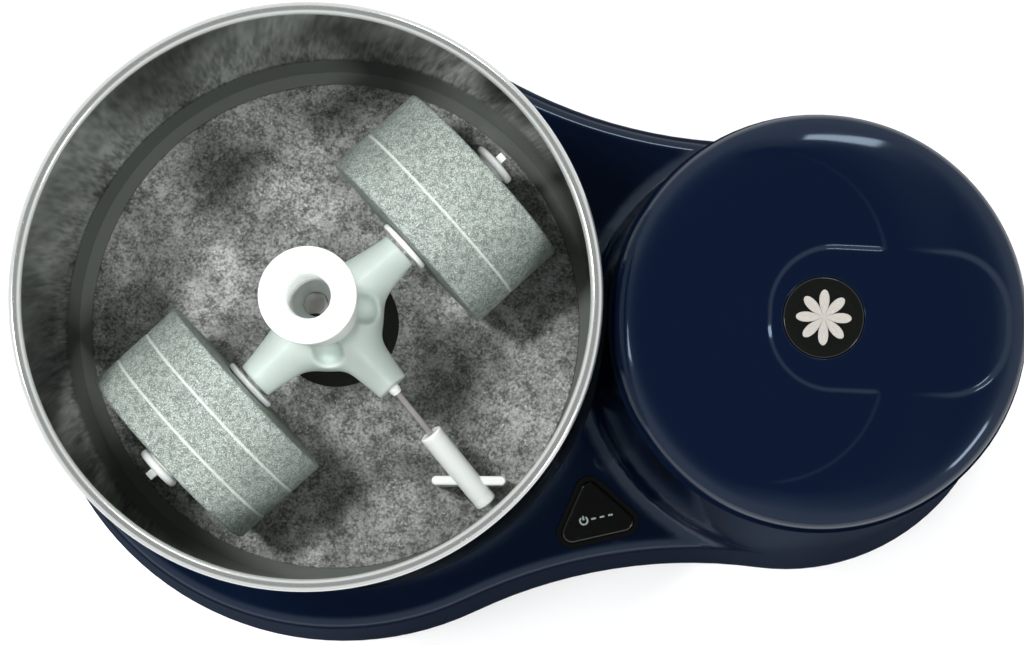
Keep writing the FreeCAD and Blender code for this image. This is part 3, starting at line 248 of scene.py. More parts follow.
def mixed(tree, share, first, second, blend="MIX"):
    """Colour mix of two colours or signals."""
    return node(tree, "Mix", (0, share), (6, first), (7, second), out=2, data_type="RGBA",
                blend_type=blend)


def ramp(tree, value, low, high, start=0.0, end=1.0):
    """Value stretched from low..high to start..end, with soft ends."""
    return node(tree, "MapRange", ("Value", value), ("From Min", low), ("From Max", high),
                ("To Min", start), ("To Max", end), interpolation_type="SMOOTHSTEP")


def granite_grains(tree, given):
    """Ground granite: pale and dark grains over a mottled ground, with soft cloudy swirls.

    Colour is ground -> dark by the dark grains' mask -> pale by the pale grains' mask, then made
    lighter and darker by the clouds: random cloudy tone of the stone that also stands in for painted
    caustic light and painted shade. Height is lower where a grain has been plucked out.
    """
    place = object_place(tree, 1.0 / given["Grain Size"])
    speck = noise(tree, place, 3.0, 0.9, 0.65)
    blotch = noise(tree, place, 2.0, 0.22, 0.6)
    edge, softness = 0.6 - given["Dark Share"] * 0.25, given["Softness"]
    dark = ramp(tree, speck * 0.62 + blotch * 0.38, edge - softness, edge + softness)
    elsewhere = vector_maths(tree, "ADD", place, (17.3, 5.1, 9.7))
    pale_edge = 0.66 - given["Pale Share"] * 0.3
    pale = ramp(tree, noise(tree, elsewhere, 2.5, 0.8), pale_edge, pale_edge + 0.12)
    base = mixed(tree, dark, given["Ground"], given["Dark"])
    base = mixed(tree, pale, base, given["Pale"])
    grains = node(tree, "TexVoronoi", ("Vector", place), ("Scale", 1.0), out="Color", feature="F1")
    shade = mixed(tree, 0.25, base, node(tree, "RGBToBW", (0, grains)), "SOFT_LIGHT")
    # Clouds: random cloudy tone, also painted caustic light and painted shade
    clouds = noise(tree, object_place(tree, 1.0 / given["Cloud Size"]), 2.0, distortion=1.6)
    lift = 1.0 + given["Clouds"] * ((clouds - 0.5) * 4.0)
    return vector_maths(tree, "SCALE", shade, lift), pale * 0.5 - dark, 0.42 + dark * 0.22


def moulded_skin(tree, given):
    """Moulded plastic: a faint orange peel and a slow drift of gloss.

    Height is fine noise at the peel's size. Gloss is a base roughness plus a slow noise.
    """
    peel = noise(tree, object_place(tree, 1.0 / given["Peel Size"]), 2.0)
    change = noise(tree, object_place(tree, 30.0), 2.0) - 0.5
    tinted = vector_maths(tree, "SCALE", given["Color"], 1.0 + change * given["Tint"])
    return tinted, peel, given["Roughness"] + change * given["Drift"]


def turned_lines(tree, given):
    """Spun or turned metal: fine lines round an upright axis, and faint smears.

    Lines are one-dimensional noise on radius plus height, so they run round walls and flats alike.
    """
    offset = vector_maths(tree, "SUBTRACT", object_place(tree), given["Axis"])
    level = node(tree, "SeparateXYZ", (0, offset), out="Z")
    flat = vector_maths(tree, "MULTIPLY", offset, (1.0, 1.0, 0.0))
    radius = node(tree, "VectorMath", (0, flat), out="Value", operation="LENGTH")
    lines = node(tree, "TexNoise", ("W", (radius + level) / given["Line Size"]), ("Scale", 1.0),
                 ("Detail", 3.0), noise_dimensions="1D")
    change = noise(tree, object_place(tree, 22.0), 4.0, distortion=0.8) - 0.5
    tinted = vector_maths(tree, "SCALE", given["Color"], 0.94 + lines * 0.12)
    return tinted, lines, given["Roughness"] + change * given["Smears"]


GREY = (0.5, 0.5, 0.5, 1.0)
PATTERNS = {
    granite_grains: {"Ground": GREY, "Dark": GREY, "Pale": GREY, "Grain Size": 0.001, "Dark Share": 0.4,
                     "Pale Share": 0.3, "Softness": 0.04, "Clouds": 0.3, "Cloud Size": 0.05},
    moulded_skin: {"Color": GREY, "Peel Size": 0.002, "Roughness": 0.3, "Drift": 0.1, "Tint": 0.04},
    turned_lines: {"Color": GREY, "Axis": (0.0, 0.0, 0.0), "Line Size": 0.0003, "Roughness": 0.2,
                   "Smears": 0.1},
}


def pattern_group(build):
    """A pattern's shader node group with its named inputs, built the first time it is asked for."""
    name = build.__name__.replace("_", " ")
    if name in bpy.data.node_groups:
        return bpy.data.node_groups[name]
    group = bpy.data.node_groups.new(name, "ShaderNodeTree")
    for label, value in PATTERNS[build].items():
        size = len(value) if isinstance(value, tuple) else 1
        kind = {1: "NodeSocketFloat", 3: "NodeSocketVector", 4: "NodeSocketColor"}[size]
        group.interface.new_socket(label, in_out="INPUT", socket_type=kind).default_value = value
    outputs = {"Color": "NodeSocketColor", "Height": "NodeSocketFloat", "Roughness": "NodeSocketFloat"}
    for label, kind in outputs.items():
        group.interface.new_socket(label, in_out="OUTPUT", socket_type=kind)
    into, out = group.nodes.new("NodeGroupInput"), group.nodes.new("NodeGroupOutput")
    given = {label: Signal(into.outputs[label]) for label in PATTERNS[build]}
    for label, made in zip(outputs, build(group, given)):
        group.links.new(made.socket, out.inputs[label])
    return group


# ---- materials ----

def new_material(name, build, values, bump, shader):
    """Material whose colour, roughness and bump come from a pattern's outputs, made once.

    bump is (strength, distance). shader holds the Principled sockets that are the same all over.
    """
    if name in bpy.data.materials and bpy.data.materials[name].get("grinder_made"):
        return bpy.data.materials[name]
    material = bpy.data.materials.new(name)
    material["grinder_made"] = True
    material.use_nodes = True
    tree = material.node_tree
    principled = tree.nodes["Principled BSDF"]
    pattern = tree.nodes.new("ShaderNodeGroup")
    pattern.node_tree = pattern_group(build)
    for key, value in values.items():
        pattern.inputs[key].default_value = value
    tree.links.new(pattern.outputs["Color"], principled.inputs["Base Color"])
    tree.links.new(pattern.outputs["Roughness"], principled.inputs["Roughness"])
    relief = node(tree, "Bump", ("Height", Signal(pattern.outputs["Height"])), ("Strength", bump[0]),
                  ("Distance", bump[1]))
    tree.links.new(relief.socket, principled.inputs["Normal"])
    for key, value in shader.items():
        principled.inputs[key].default_value = value
    return material


def plastic(name, colour, roughness, peel=0.002, drift=0.08, coat=0.0, bump=0.06, specular=0.5,
            subsurface=0.0, tint=(1.0, 1.0, 1.0)):
    """Moulded plastic in one colour."""
    values = {"Color": (*colour, 1), "Peel Size": peel, "Roughness": roughness, "Drift": drift}
    shader = {"Coat Weight": coat, "Coat Roughness": 0.03, "Specular IOR Level": specular,
              "Specular Tint": (*tint, 1), "Subsurface Weight": subsurface, "Subsurface Scale": 0.002}
    return new_material(name, moulded_skin, values, (bump, 0.0002), shader)


def metal(name, colour, roughness, axis=(0.0, 0.0, 0.0), line=0.0003, smears=0.1, bump=0.05,
          metallic=1.0):
    """Turned, spun or rolled metal."""
    values = {"Color": (*colour, 1), "Axis": axis, "Line Size": line, "Roughness": roughness,
              "Smears": smears}
    return new_material(name, turned_lines, values, (bump, 0.0001), {"Metallic": metallic})


def granite(name, ground, dark, pale, bump, **values):
    """Ground granite."""
    values = {key.replace("_", " ").title(): value for key, value in values.items()}
    for key, colour in (("Ground", ground), ("Dark", dark), ("Pale", pale)):
        values[key] = (*colour, 1)
    return new_material(name, granite_grains, values, bump, {"Specular IOR Level": 0.5})


# Finish: maker, colour or the name of the setting that holds it, roughness, other values
FINISHES = {
    "navy gloss": (plastic, "navy", 0.09,
                   dict(peel=0.004, drift=0.05, bump=0.02, tint=(0.62, 0.80, 1.0))),
    "black gloss": (plastic, (0.004, 0.0045, 0.004), 0.12,
                    dict(peel=0.003, drift=0.05, coat=0.4, bump=0.02)),
    "white satin": (plastic, "white", 0.32, dict(subsurface=0.1)),
    "mint satin": (plastic, "mint", 0.34, dict(subsurface=0.15)),
    "black rubber": (plastic, (0.012, 0.013, 0.012), 0.7,
                     dict(peel=0.0008, drift=0.1, bump=0.3, specular=0.3)),
    "black satin": (plastic, (0.015, 0.016, 0.016), 0.38, dict(peel=0.0009, bump=0.15)),
    "grey seal": (plastic, (0.12, 0.13, 0.12), 0.6, dict(peel=0.001, bump=0.3)),
    "silver foil": (plastic, (0.33, 0.31, 0.285), 0.3, dict(peel=0.0004, drift=0.2, coat=0.3, bump=0.3)),
    "printed ink": (plastic, (0.30, 0.37, 0.36), 0.4, dict(peel=0.0005, bump=0.1)),
    "plain bush": (plastic, (0.42, 0.36, 0.24), 0.45, dict(peel=0.0006, bump=0.2)),
    "spun steel": (metal, "steel", 0.07,
                   dict(axis=tuple(DRUM_AXIS), line=0.0005, smears=0.06, bump=0.03)),
    # Brighter, less metallic copy of the drum's steel for its bead: painted sheen, the bead being the
    # same spun steel as the wall.
    "bead steel": (metal, (0.70, 0.72, 0.70), 0.16,
                   dict(axis=tuple(DRUM_AXIS), smears=0.08, bump=0.06, metallic=0.82)),
    "bright steel": (metal, (0.62, 0.60, 0.58), 0.22, dict(smears=0.06, metallic=0.6)),
    "rod steel": (metal, (0.50, 0.46, 0.45), 0.24, dict(smears=0.05, metallic=0.6)),
    "bearing steel": (metal, (0.62, 0.62, 0.61), 0.18, dict(smears=0.05)),
    "zinc plate": (metal, (0.55, 0.55, 0.52), 0.34, dict(smears=0.2, bump=0.1)),
    "cast aluminium": (metal, (0.50, 0.51, 0.52), 0.48, dict(line=0.0009, smears=0.25, bump=0.4)),
    "sheet steel": (metal, (0.48, 0.49, 0.50), 0.36, dict(smears=0.22, bump=0.1)),
    "lamination": (metal, (0.22, 0.22, 0.23), 0.5, dict(line=0.0005, smears=0.2, bump=0.8)),
    "copper winding": (metal, (0.62, 0.27, 0.11), 0.36, dict(line=0.0006, smears=0.15, bump=1.0)),
}

# Slots whose finish has another name than their own
SLOT_FINISHES = {"black_plastic": "black satin", "foot_rubber": "black rubber",
                 "belt_rubber": "black rubber", "zinc_screw": "zinc plate"}


def finish(name):
    """Material of a named finish."""
    make, colour, roughness, values = FINISHES[name]
    if isinstance(colour, str):
        colour = tuple(getattr(bpy.context.scene.grinder_finish, colour))
    return make(name, colour, roughness, **values)


def show(name, surface, material, body, slot_name, *replaced, ring=True):
    """Object for a finished mesh or grid of points, with its doubles merged and its faces pointing
    outwards, its material, the body it rides on and the nodes it replaces. Its slot name is not used."""
    mesh = grid_mesh(name, surface, ring) if isinstance(surface, np.ndarray) else surface
    work = bmesh.new()
    work.from_mesh(mesh)
    bmesh.ops.remove_doubles(work, verts=work.verts, dist=1e-7)
    bmesh.ops.recalc_face_normals(work, faces=work.faces)
    work.to_mesh(mesh)
    work.free()
    piece = bpy.data.objects.new(name, mesh)
    bpy.context.scene.collection.objects.link(piece)
    piece.data.materials.append(finish(material) if isinstance(material, str) else material)
    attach(piece, body)
    if replaced:
        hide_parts(*replaced)
    return piece


def paint(name, *nodes):
    """Give kept nodes a finish."""
    for thing in nodes:
        NODES[thing].data.materials.clear()
        NODES[thing].data.materials.append(finish(name))


# ---- settings ----

def colour_field(name, description, default):
    """Colour that a user can change."""
    return bpy.props.FloatVectorProperty(name=name, description=description, subtype="COLOR",
                                         default=default, min=0, max=1)


def size_field(name, description, default, low, high, unit="LENGTH"):
    """Size that a user can change."""
    return bpy.props.FloatProperty(name=name, description=description, default=default, min=low,
                                   max=high, unit=unit)


class GrinderFinish(bpy.types.PropertyGroup):
    """Colours of the machine's own finishes."""
    navy: colour_field("Navy", "Base, tower and cap", (0.0019, 0.0046, 0.0145))
    mint: colour_field("Mint white", "Roller holder", (0.57, 0.65, 0.61))
    white: colour_field("White", "Knob, flanges and wiper", (0.86, 0.89, 0.87))
    steel: colour_field("Drum steel", "Wall of the drum", (0.50, 0.54, 0.51))
    floor_ground: colour_field("Floor granite", "Ground of the drum's granite floor", (0.42, 0.43, 0.415))
    roller_ground: colour_field("Roller granite", "Ground of the roller stones", (0.33, 0.375, 0.34))


class GrinderShape(bpy.types.PropertyGroup):
    """Sizes of the softer details that the finished surfaces add."""
    tongue_rise: size_field("Tongue rise", "How far the cap's tongue stands out", 0.0012, 0, 0.003)
    wing_rise: size_field("Wing rise", "Step of the two ridges beside the tongue", 0.0014, 0, 0.003)
    arm_ridge: size_field("Arm ridge", "Arms' section, from ridged to oval", 1.4, 1.2, 2.0, "NONE")
    pocket_depth: size_field("Pocket depth", "Thumb pockets between the arms", 0.0055, 0, 0.01)
    knob_rib: size_field("Knob rib", "Depth of the rings in the knob's bore", 0.0007, 0, 0.0008)
    petal_rise: size_field("Petal rise", "How far the rosette stands out", 0.0006, 0.0002, 0.0006)


def shape():
    """The scene's detail sizes."""
    return bpy.context.scene.grinder_shape


# ---- the drum ----

class GRINDER_OT_drum_wall(bpy.types.Operator):
    """Spun steel drum with a rolled bead"""
    bl_idname = "grinder.drum_wall"
    bl_label = "Drum wall"

    def execute(self, context):
        piece = show("drum_wall", drum_wall_points(), "spun steel", "drum", "drum_steel", "drum_shell")
        # The bead's faces take a brighter copy of the drum's steel: painted sheen.
        piece.data.materials.append(finish("bead steel"))
        bead_band = 5.3 * MM
        centres = np.empty(len(piece.data.polygons) * 3, np.float32)
        piece.data.polygons.foreach_get("center", centres)
        in_bead = centres[2::3].astype(float) > RIM_TOP - bead_band
        piece.data.polygons.foreach_set("material_index", in_bead.astype(np.int32))
        return {"FINISHED"}


def drum_wall_points():
    """Closed profile carried round the drum's axis: inner bottom, inner corner, inner wall, three
    quarters of a bead, outer wall, outer corner and underside."""
    wall, bead, bead_drop, corner = 0.8 * MM, 2.6 * MM, 2.47 * MM, 6.0 * MM
    outer = RIM_RADIUS - bead
    inner = outer - wall
    bead_height = RIM_TOP - bead
    reach = math.degrees(math.acos(wall / bead))
    inside = DRUM_BOTTOM + wall
    profile = np.vstack([
        run_of((HOLE_RADIUS, inside), (inner - corner + wall, inside), 12),
        arc((inner - corner + wall, DRUM_BOTTOM + corner), corner - wall, -90, 0, 8),
        run_of((inner, inside + corner), (inner, bead_height - bead_drop), 24),
        arc((outer, bead_height), bead, 180 + reach, -90, 30),
        run_of((outer, bead_height - bead - 1 * MM), (outer, DRUM_BOTTOM + corner), 24),
        arc((outer - corner, DRUM_BOTTOM + corner), corner, 0, -90, 8),
        run_of((outer - corner - wall, DRUM_BOTTOM), (HOLE_RADIUS, DRUM_BOTTOM), 12),
        [(HOLE_RADIUS, DRUM_BOTTOM)]])
    return spin(profile, 256)


class GRINDER_OT_floor_stone(bpy.types.Operator):
    """Granite floor of the drum, lightly hollowed where the rollers run"""
    bl_idname = "grinder.floor_stone"
    bl_label = "Granite floor"

    def execute(self, context):
        # Strong clouds: random cloudy tone of the floor together with painted caustic light and painted
        # shade
        stone = granite(
            "floor granite", context.scene.grinder_finish.floor_ground, (0.085, 0.09, 0.084),
            (0.50, 0.52, 0.495), (0.2, 0.0002), grain_size=0.0011, dark_share=0.42, pale_share=0.2,
            softness=0.15, clouds=0.6, cloud_size=0.06)
        show("granite_floor", floor_stone_points(), stone, "drum", "floor_granite", "drum_floor_stone")
        paint("grey seal", "drum_seal_ring")
        paint("black rubber", "drum_stem")
        return {"FINISHED"}


def floor_stone_points():
    """Closed profile carried round the drum's axis. The top falls by up to 0.15 mm under the
    rollers' track, as a raised cosine of the radius."""
    edge, chamfer, hollow = 0.8 * MM, 2.4 * MM, 0.15 * MM
    track_start, track_width = 45 * MM, 50 * MM
    radius = np.linspace(HOLE_RADIUS, FLOOR_RADIUS - edge, 60)
    track = np.clip((radius - track_start) / track_width, 0, 1)
    top = np.stack([radius, FLOOR_TOP - hollow * np.sin(math.pi * track) ** 2], -1)
    profile = np.vstack([
        top, arc((FLOOR_RADIUS - edge, FLOOR_TOP - edge), edge, 70, 0, 4),
        [(FLOOR_RADIUS, FLOOR_BOTTOM + chamfer), (FLOOR_RADIUS - chamfer, FLOOR_BOTTOM),
         (HOLE_RADIUS, FLOOR_BOTTOM)]])
    return spin(profile, 192)


# ---- roller stones ----

def roller_facts(name):
    """Centre, outward direction, radius and width of a roller stone."""
    stone = name + "_roller_stone"
    centre = middle(stone)
    outward = ROLLER_DIRECTION * np.sign(np.dot(centre - DRUM, ROLLER_DIRECTION))
    reach = (places_of(stone) - centre) @ outward
    return centre, outward, half_size(stone)[2], reach.max() - reach.min()


class GRINDER_OT_roller_stones(bpy.types.Operator):
    """Two granite roller stones with eased edges and cut lines"""
    bl_idname = "grinder.roller_stones"
    bl_label = "Roller stones"

    def execute(self, context):
        for name, grooves in (("first", (-4.0 * MM,)), ("second", (-7.0 * MM, 9.5 * MM))):
            show(name + "_stone", roller_points(name, grooves), roller_granite(name, grooves),
                 name + "_roller", "roller_granite", name + "_roller_stone")
        return {"FINISHED"}


def roller_points(name, grooves):
    """Closed profile carried round the axle: bore, inner face, eased edge, tread, eased edge and
    outer face. Shallow cosine grooves cross the tread, and a sum of sines chips the edges."""
    centre, outward, radius, width = roller_facts(name)
    half = width / 2
    bore, ease, groove_half, groove_depth, chip_depth = np.array([9.0, 1.5, 0.8, 0.45, 0.22]) * MM
    segments, face_steps = 240, 10
    tread = np.linspace(-half + ease, half - ease, 90)
    near = np.stack([np.clip(np.abs(tread - place) / groove_half, 0, 1) for place in grooves])
    cut = (groove_depth * (1 + np.cos(math.pi * near)) / 2).sum(axis=0)
    rows = np.vstack([
        np.stack([np.full(face_steps, -half), np.linspace(bore, radius - ease, face_steps, False)], -1),
        arc((-half + ease, radius - ease), ease, 180, 90, 7)[:-1],
        np.stack([tread, radius - cut], -1),
        arc((half - ease, radius - ease), ease, 90, 0, 7)[1:],
        np.stack([np.full(face_steps, half), np.linspace(radius - ease, bore, face_steps + 1)[1:]], -1)])
    points = along(rows[:, ::-1], segments, centre, outward)
    turn = np.arange(segments) * TURN / segments
    # each wave: size, times round the stone, rate across it in 1/mm, phase
    waves = ((0.5, 9, 1.7, 0.3), (0.4, 23, -2.9, 1.1), (0.35, 41, 4.3, 2.0), (0.3, 67, -6.1, 0.7))
    ripple = sum(a * np.sin(k * turn + m * rows[:, :1] / MM + p) for a, k, m, p in waves)
    edge = np.exp(-((np.abs(rows[:, 0]) - (half - ease / 2)) / (1.4 * MM)) ** 2)
    edge *= rows[:, 1] > radius - 3 * ease
    chips = chip_depth * edge[:, None] * np.clip(ripple - 0.35, 0, 1)
    inwards = (centre + rows[:, :1] * outward)[:, None] - points
    inwards /= np.linalg.norm(inwards, axis=-1, keepdims=True)
    return points + inwards * chips[..., None]


def roller_granite(name, grooves):
    """Light granite with paler lines where the tread is cut, read from the distance along the axle."""
    centre, outward = roller_facts(name)[:2]
    material = granite(
        name + " roller granite", bpy.context.scene.grinder_finish.roller_ground, (0.15, 0.175, 0.16),
        (0.53, 0.58, 0.54), (0.22, 0.00012), grain_size=0.0005, dark_share=0.42, pale_share=0.36,
        softness=0.06, clouds=0.1, cloud_size=0.03)
    tree = material.node_tree
    base_colour = tree.nodes["Principled BSDF"].inputs["Base Color"]
    from_centre = vector_maths(tree, "SUBTRACT", object_place(tree), tuple(centre))
    distance = vector_maths(tree, "DOT_PRODUCT", from_centre, tuple(outward), "Value")
    colour = Signal(base_colour.links[0].from_socket)
    for place in grooves:
        away = distance.maths("ABSOLUTE", distance - place)
        line = 1.0 - ramp(tree, away, 0.3 * MM, 0.9 * MM)
        colour = mixed(tree, line * 0.6, colour, (0.72, 0.76, 0.72, 1))
    tree.links.new(colour.socket, base_colour)
    return material


class GRINDER_OT_roller_fittings(bpy.types.Operator):
    """Flanges, caps, pins, axles and bushes of both rollers"""
    bl_idname = "grinder.roller_fittings"
    bl_label = "Roller fittings"

    def execute(self, context):
        for name in ("first", "second"):
            show(name + "_flange", flange_points(name), "white satin", "roller_holder", "white_plastic",
                 name + "_inner_flange")
            show(name + "_cap", outer_cap_points(name), "white satin", "roller_holder", "white_plastic",
                 name + "_outer_cap", ring=False)
            paint("white satin", name + "_axle_pin", name + "_roller_bush")
            paint("bright steel", name + "_axle")
        return {"FINISHED"}


def axle_facts(name, part):
    """Point on the drum's axis at the axle's height, outward direction, nearest and furthest
    distance of a fitting from there, and its radius."""
    centre, outward = roller_facts(name)[:2]
    distance = (places_of(name + part) - DRUM) @ outward
    origin = np.array([DRUM[0], DRUM[1], centre[2]])
    return origin, outward, distance.min(), distance.max(), half_size(name + part)[2]


def flange_points(name):
    """Washer profile with a rounded rim and a raised ring round the axle."""
    origin, outward, start, end, rim = axle_facts(name, "_inner_flange")
    edge = (end - start) / 2
    bore, ring, step = 5.0 * MM, 2.5 * MM, 0.35 * MM
    profile = np.vstack([
        [(bore, start), (bore + ring, start), (bore + 3.0 * MM, start + step),
         (rim - 1.6 * MM, start + step)],
        arc((rim - edge, start + edge), edge, -65, 90, 12), [(bore, end)]])
    return along(profile, 96, origin, outward)


def outer_cap_points(name):
    """Boss and rounded disc in one profile, closed at the outer end, with a shallow dish."""
    origin, outward, start, end, rim = axle_facts(name, "_outer_cap")
    thickness, boss, axle = 3.6 * MM, 7.5 * MM, 5.0 * MM
    edge = thickness * 0.42
    disc = end - thickness
    dish = 0.25 * MM
    profile = np.vstack([
        [(axle, end - 1.5 * MM), (axle, start), (boss, start), (boss, disc - 0.6 * MM),
         (boss + 0.6 * MM, disc)],
        arc((rim - edge, disc + edge), edge, -90, 0, 8), arc((rim - edge, end - edge), edge, 0, 90, 8),
        [(rim - edge - 1.2 * MM, end - dish), (2.6 * MM, end - dish), (2.2 * MM, end - 0.1 * MM)]])
    return along(profile, 72, origin, outward)


# ---- roller holder ----

def joined(first, second, blend):
    """Smooth union of two distance fields: the smaller of the two, eased over the blend's length."""
    share = np.clip(0.5 + 0.5 * (second - first) / blend, 0, 1)
    return second + (first - second) * share - blend * share * (1 - share)


def pressed(first, second, blend):
    """Smooth cut of the second field out of the first."""
    return -joined(-first, second, blend)


def turned_to(x, y, degrees):
    """Plan places as distances along and across a direction."""
    angle = math.radians(degrees)
    return x * math.cos(angle) + y * math.sin(angle), -x * math.sin(angle) + y * math.cos(angle)


def ellipsoid(x, y, z, centre, size, scale):
    """Distance field of an ellipsoid with the given half sizes: (length of place / size - 1) scale."""
    parts = [((place - c) / s) ** 2 for place, c, s in zip((x, y, z), centre, size)]
    return (np.sqrt(sum(parts)) - 1) * scale


def arm_field(x, y, z, degrees, slimness, tip_height):
    """Distance to one trumpet-shaped arm, in mm from the drum's axis.

    Across the arm the section is (|t| / w)^n + (|h| / h0)^n = 1, with w and h0 falling as
    (1 - s)^1.3 with the distance s along the arm. The arm is cut off square at its tip.
    """
    reach, axle_height, tip_width, underside = 42.9, 109.9, 8.5, 2.4
    along_arm, across = turned_to(x, y, degrees)
    s = np.clip(along_arm / reach, 0, 1)
    flare = (1 - s) ** 1.3
    half_width = slimness * (tip_width + 9.0 * flare)
    half_height = tip_height + 11.0 * flare
    level = z - (axle_height + 2.0 * (1 - s))
    power = np.where(level > 0, shape().arm_ridge, underside)
    section = (np.abs(across) / half_width) ** power + (np.abs(level) / half_height) ** power
    body = (np.maximum(section, 1e-9) ** (1 / power) - 1) * np.minimum(half_width, half_height)
    return pressed(pressed(body, reach - along_arm, 1.2), along_arm + 2.0, 3.0)


def holder_field(x, y, z):
    """Distance field of the holder in mm: hub, three arms and two webs joined softly, then two thumb
    pockets, the bore for the drum's stem and the hole for the post pressed out of it."""
    bottom, top, bore_top = 88.0, 139.0, 129.1
    bore_radius, post_radius = 12.3, 5.4
    radius = np.hypot(x, y)
    solid = radius - (17.6 - 2.1 * np.clip((z - bottom) / (top - bottom), 0, 1))
    for degrees, slimness, tip_height in ((45, 1.0, 9.1), (-135, 1.0, 9.1), (-45, 0.88, 8.19)):
        solid = joined(solid, arm_field(x, y, z, degrees, slimness, tip_height), 6.0)
    for degrees in (0, -90):
        web = ellipsoid(*turned_to(x, y, degrees), z, (14, 0, 109.5), (10.5, 15.5, 15.5), 10.5)
        solid = joined(solid, web, 5.0)
    pocket_size = (6.4, 6.4, 6.5 + shape().pocket_depth / MM)
    for px, py in ((18.4, 2.4), (2.4, -18.4)):
        solid = pressed(solid, ellipsoid(x, y, z, (px, py, 125.5), pocket_size, 6.4), 2.0)
    solid = pressed(pressed(solid, z - bottom, 0.8), top - z, 0.8)
    bore = np.maximum(radius - bore_radius, z - bore_top)
    return pressed(pressed(solid, bore, 0.6), radius - post_radius, 0.4)


def net_mesh(name, field, low, high, step):
    """Closed mesh of the surface where a field of (x, y, z) in mm is zero, negative inside.

    Surface nets: every lattice cell that the surface crosses gets one point, the mean of the
    crossings on the cell's edges, which is then slid onto the surface along the field's slope. Every
    crossed lattice edge joins the four cells round it into one face.
    """
    axes = [np.arange(a, b + step, step) for a, b in zip(low, high)]
    lattice = np.stack(np.meshgrid(*axes, indexing="ij"), -1)
    value = field(*np.moveaxis(lattice, -1, 0))
    cells = tuple(np.array(value.shape) - 1)
    total, count = np.zeros((*cells, 3)), np.zeros(cells)
    crossed = []
    for axis in range(3):
        first, second = [slice(None)] * 3, [slice(None)] * 3
        first[axis], second[axis] = slice(None, -1), slice(1, None)
        a, b = value[tuple(first)], value[tuple(second)]
        at = np.argwhere((a < 0) != (b < 0))
        place = lattice[tuple(first)][tuple(at.T)] + 0
        a, b = a[tuple(at.T)], b[tuple(at.T)]
        place[:, axis] += step * a / (a - b)
        others = [i for i in range(3) if i != axis]
        corners = []
        for offsets in ((0, 0), (-1, 0), (-1, -1), (0, -1)):
            cell = at.copy()
            cell[:, others] += offsets
            np.add.at(total, tuple(cell.T), place)
            np.add.at(count, tuple(cell.T), 1)
            corners.append(cell)
        crossed.append((corners[::-1] if axis == 1 else corners, a < 0))
    used = count > 0
    index = np.full(cells, -1)
    index[used] = np.arange(used.sum())
    points = total[used] / count[used][:, None]
    for _ in range(3):
        gap = field(*points.T)
        slope = np.stack([field(*(points + 0.05 * unit).T) - gap for unit in np.eye(3)], -1) / 0.05
        shift = slope * (gap / np.maximum((slope ** 2).sum(-1), 0.05))[:, None]
        points -= np.clip(shift, -step / 2, step / 2)
    faces = []
    for order, outwards in crossed:
        quad = np.stack([index[tuple(cell.T)] for cell in order], -1)
        faces.append(np.where(outwards[:, None], quad, quad[:, ::-1]))
    return new_mesh(name, points * MM + DRUM_AXIS, np.vstack(faces).tolist())


class GRINDER_OT_roller_holder(bpy.types.Operator):
    """Moulded holder with three arms, two thumb pockets and the bore for the stem"""
    bl_idname = "grinder.roller_holder"
    bl_label = "Roller holder"

    def execute(self, context):
        mesh = net_mesh("holder_casting", holder_field, (-40, -40, 86.5), (40, 40, 140.5), 0.65)
        show("holder_casting", mesh, "mint satin", "roller_holder", "mint_plastic", "roller_frame")
        return {"FINISHED"}


# ---- knob ----

class GRINDER_OT_lock_knob(bpy.types.Operator):
    """Turned lock knob with a ringed bore"""
    bl_idname = "grinder.lock_knob"
    bl_label = "Lock knob"

    def execute(self, context):
        show("knob_body", knob_points(), "white satin", "knob", "white_plastic", "lock_knob")
        paint("bright steel", "centre_post")
        return {"FINISHED"}


def knob_points():
    """Closed profile carried round the drum's axis. The bore's radius rises and falls as a cosine of
    the height, once for each ring."""
    bottom, top = levels("lock_knob")
    rim = half_size("lock_knob")[0] - 0.05 * MM
    neck, bore, hole, floor, edge, mouth = np.array([15.6, 9.8, 5.06, 164.0, 2.0, 1.6]) * MM
    rings = 6
    under = top - 6.0 * MM
    height = np.linspace(floor + 1.2 * MM, top - mouth, 90)
    swell = shape().knob_rib * np.cos(TURN * rings * (height - floor) / (top - floor))
    profile = np.vstack([
        [(hole, bottom), (neck - 0.8 * MM, bottom), (neck, bottom + 0.8 * MM)],
        run_of((neck, bottom + edge), (neck, under - edge), 12),
        arc((neck + edge, under - edge), edge, 180, 90, 6),
        [(rim - edge, under)],
        arc((rim - edge, under + edge), edge, -90, 0, 7),
        arc((rim - edge, top - edge), edge, 0, 90, 9),
        arc((bore + mouth, top - mouth), mouth, 90, 180, 7)[:-1],
        np.stack([bore - swell, height], -1)[::-1],
        [(bore - 1.2 * MM, floor), (hole + 0.5 * MM, floor), (hole, floor - 0.5 * MM)]])
    return spin(profile, 160)


# ---- wiper ----

def rod_line():
    """Middle of the wiper rod's end nearest the drum's axis, and the rod's direction, from its own
    vertices: the long axis of their spread, then the line through the middles of both ends."""
    places = places_of("wiper_rod")
    centre = places.mean(axis=0)
    direction = np.linalg.svd(places - centre)[2][0]
    direction *= np.sign(direction[:2] @ (centre - DRUM)[:2])
    run = (places - centre) @ direction
    ends = [places[run < run.min() + 1 * MM], places[run > run.max() - 1 * MM]]
    near, far = [(end.min(axis=0) + end.max(axis=0)) / 2 for end in ends]
    return near, (far - near) / np.linalg.norm(far - near)


def reach_on_rod(name):
    """Nearest and furthest place of a node along the rod."""
    start, direction = rod_line()
    run = (places_of(name) - start) @ direction
    return run.min(), run.max()


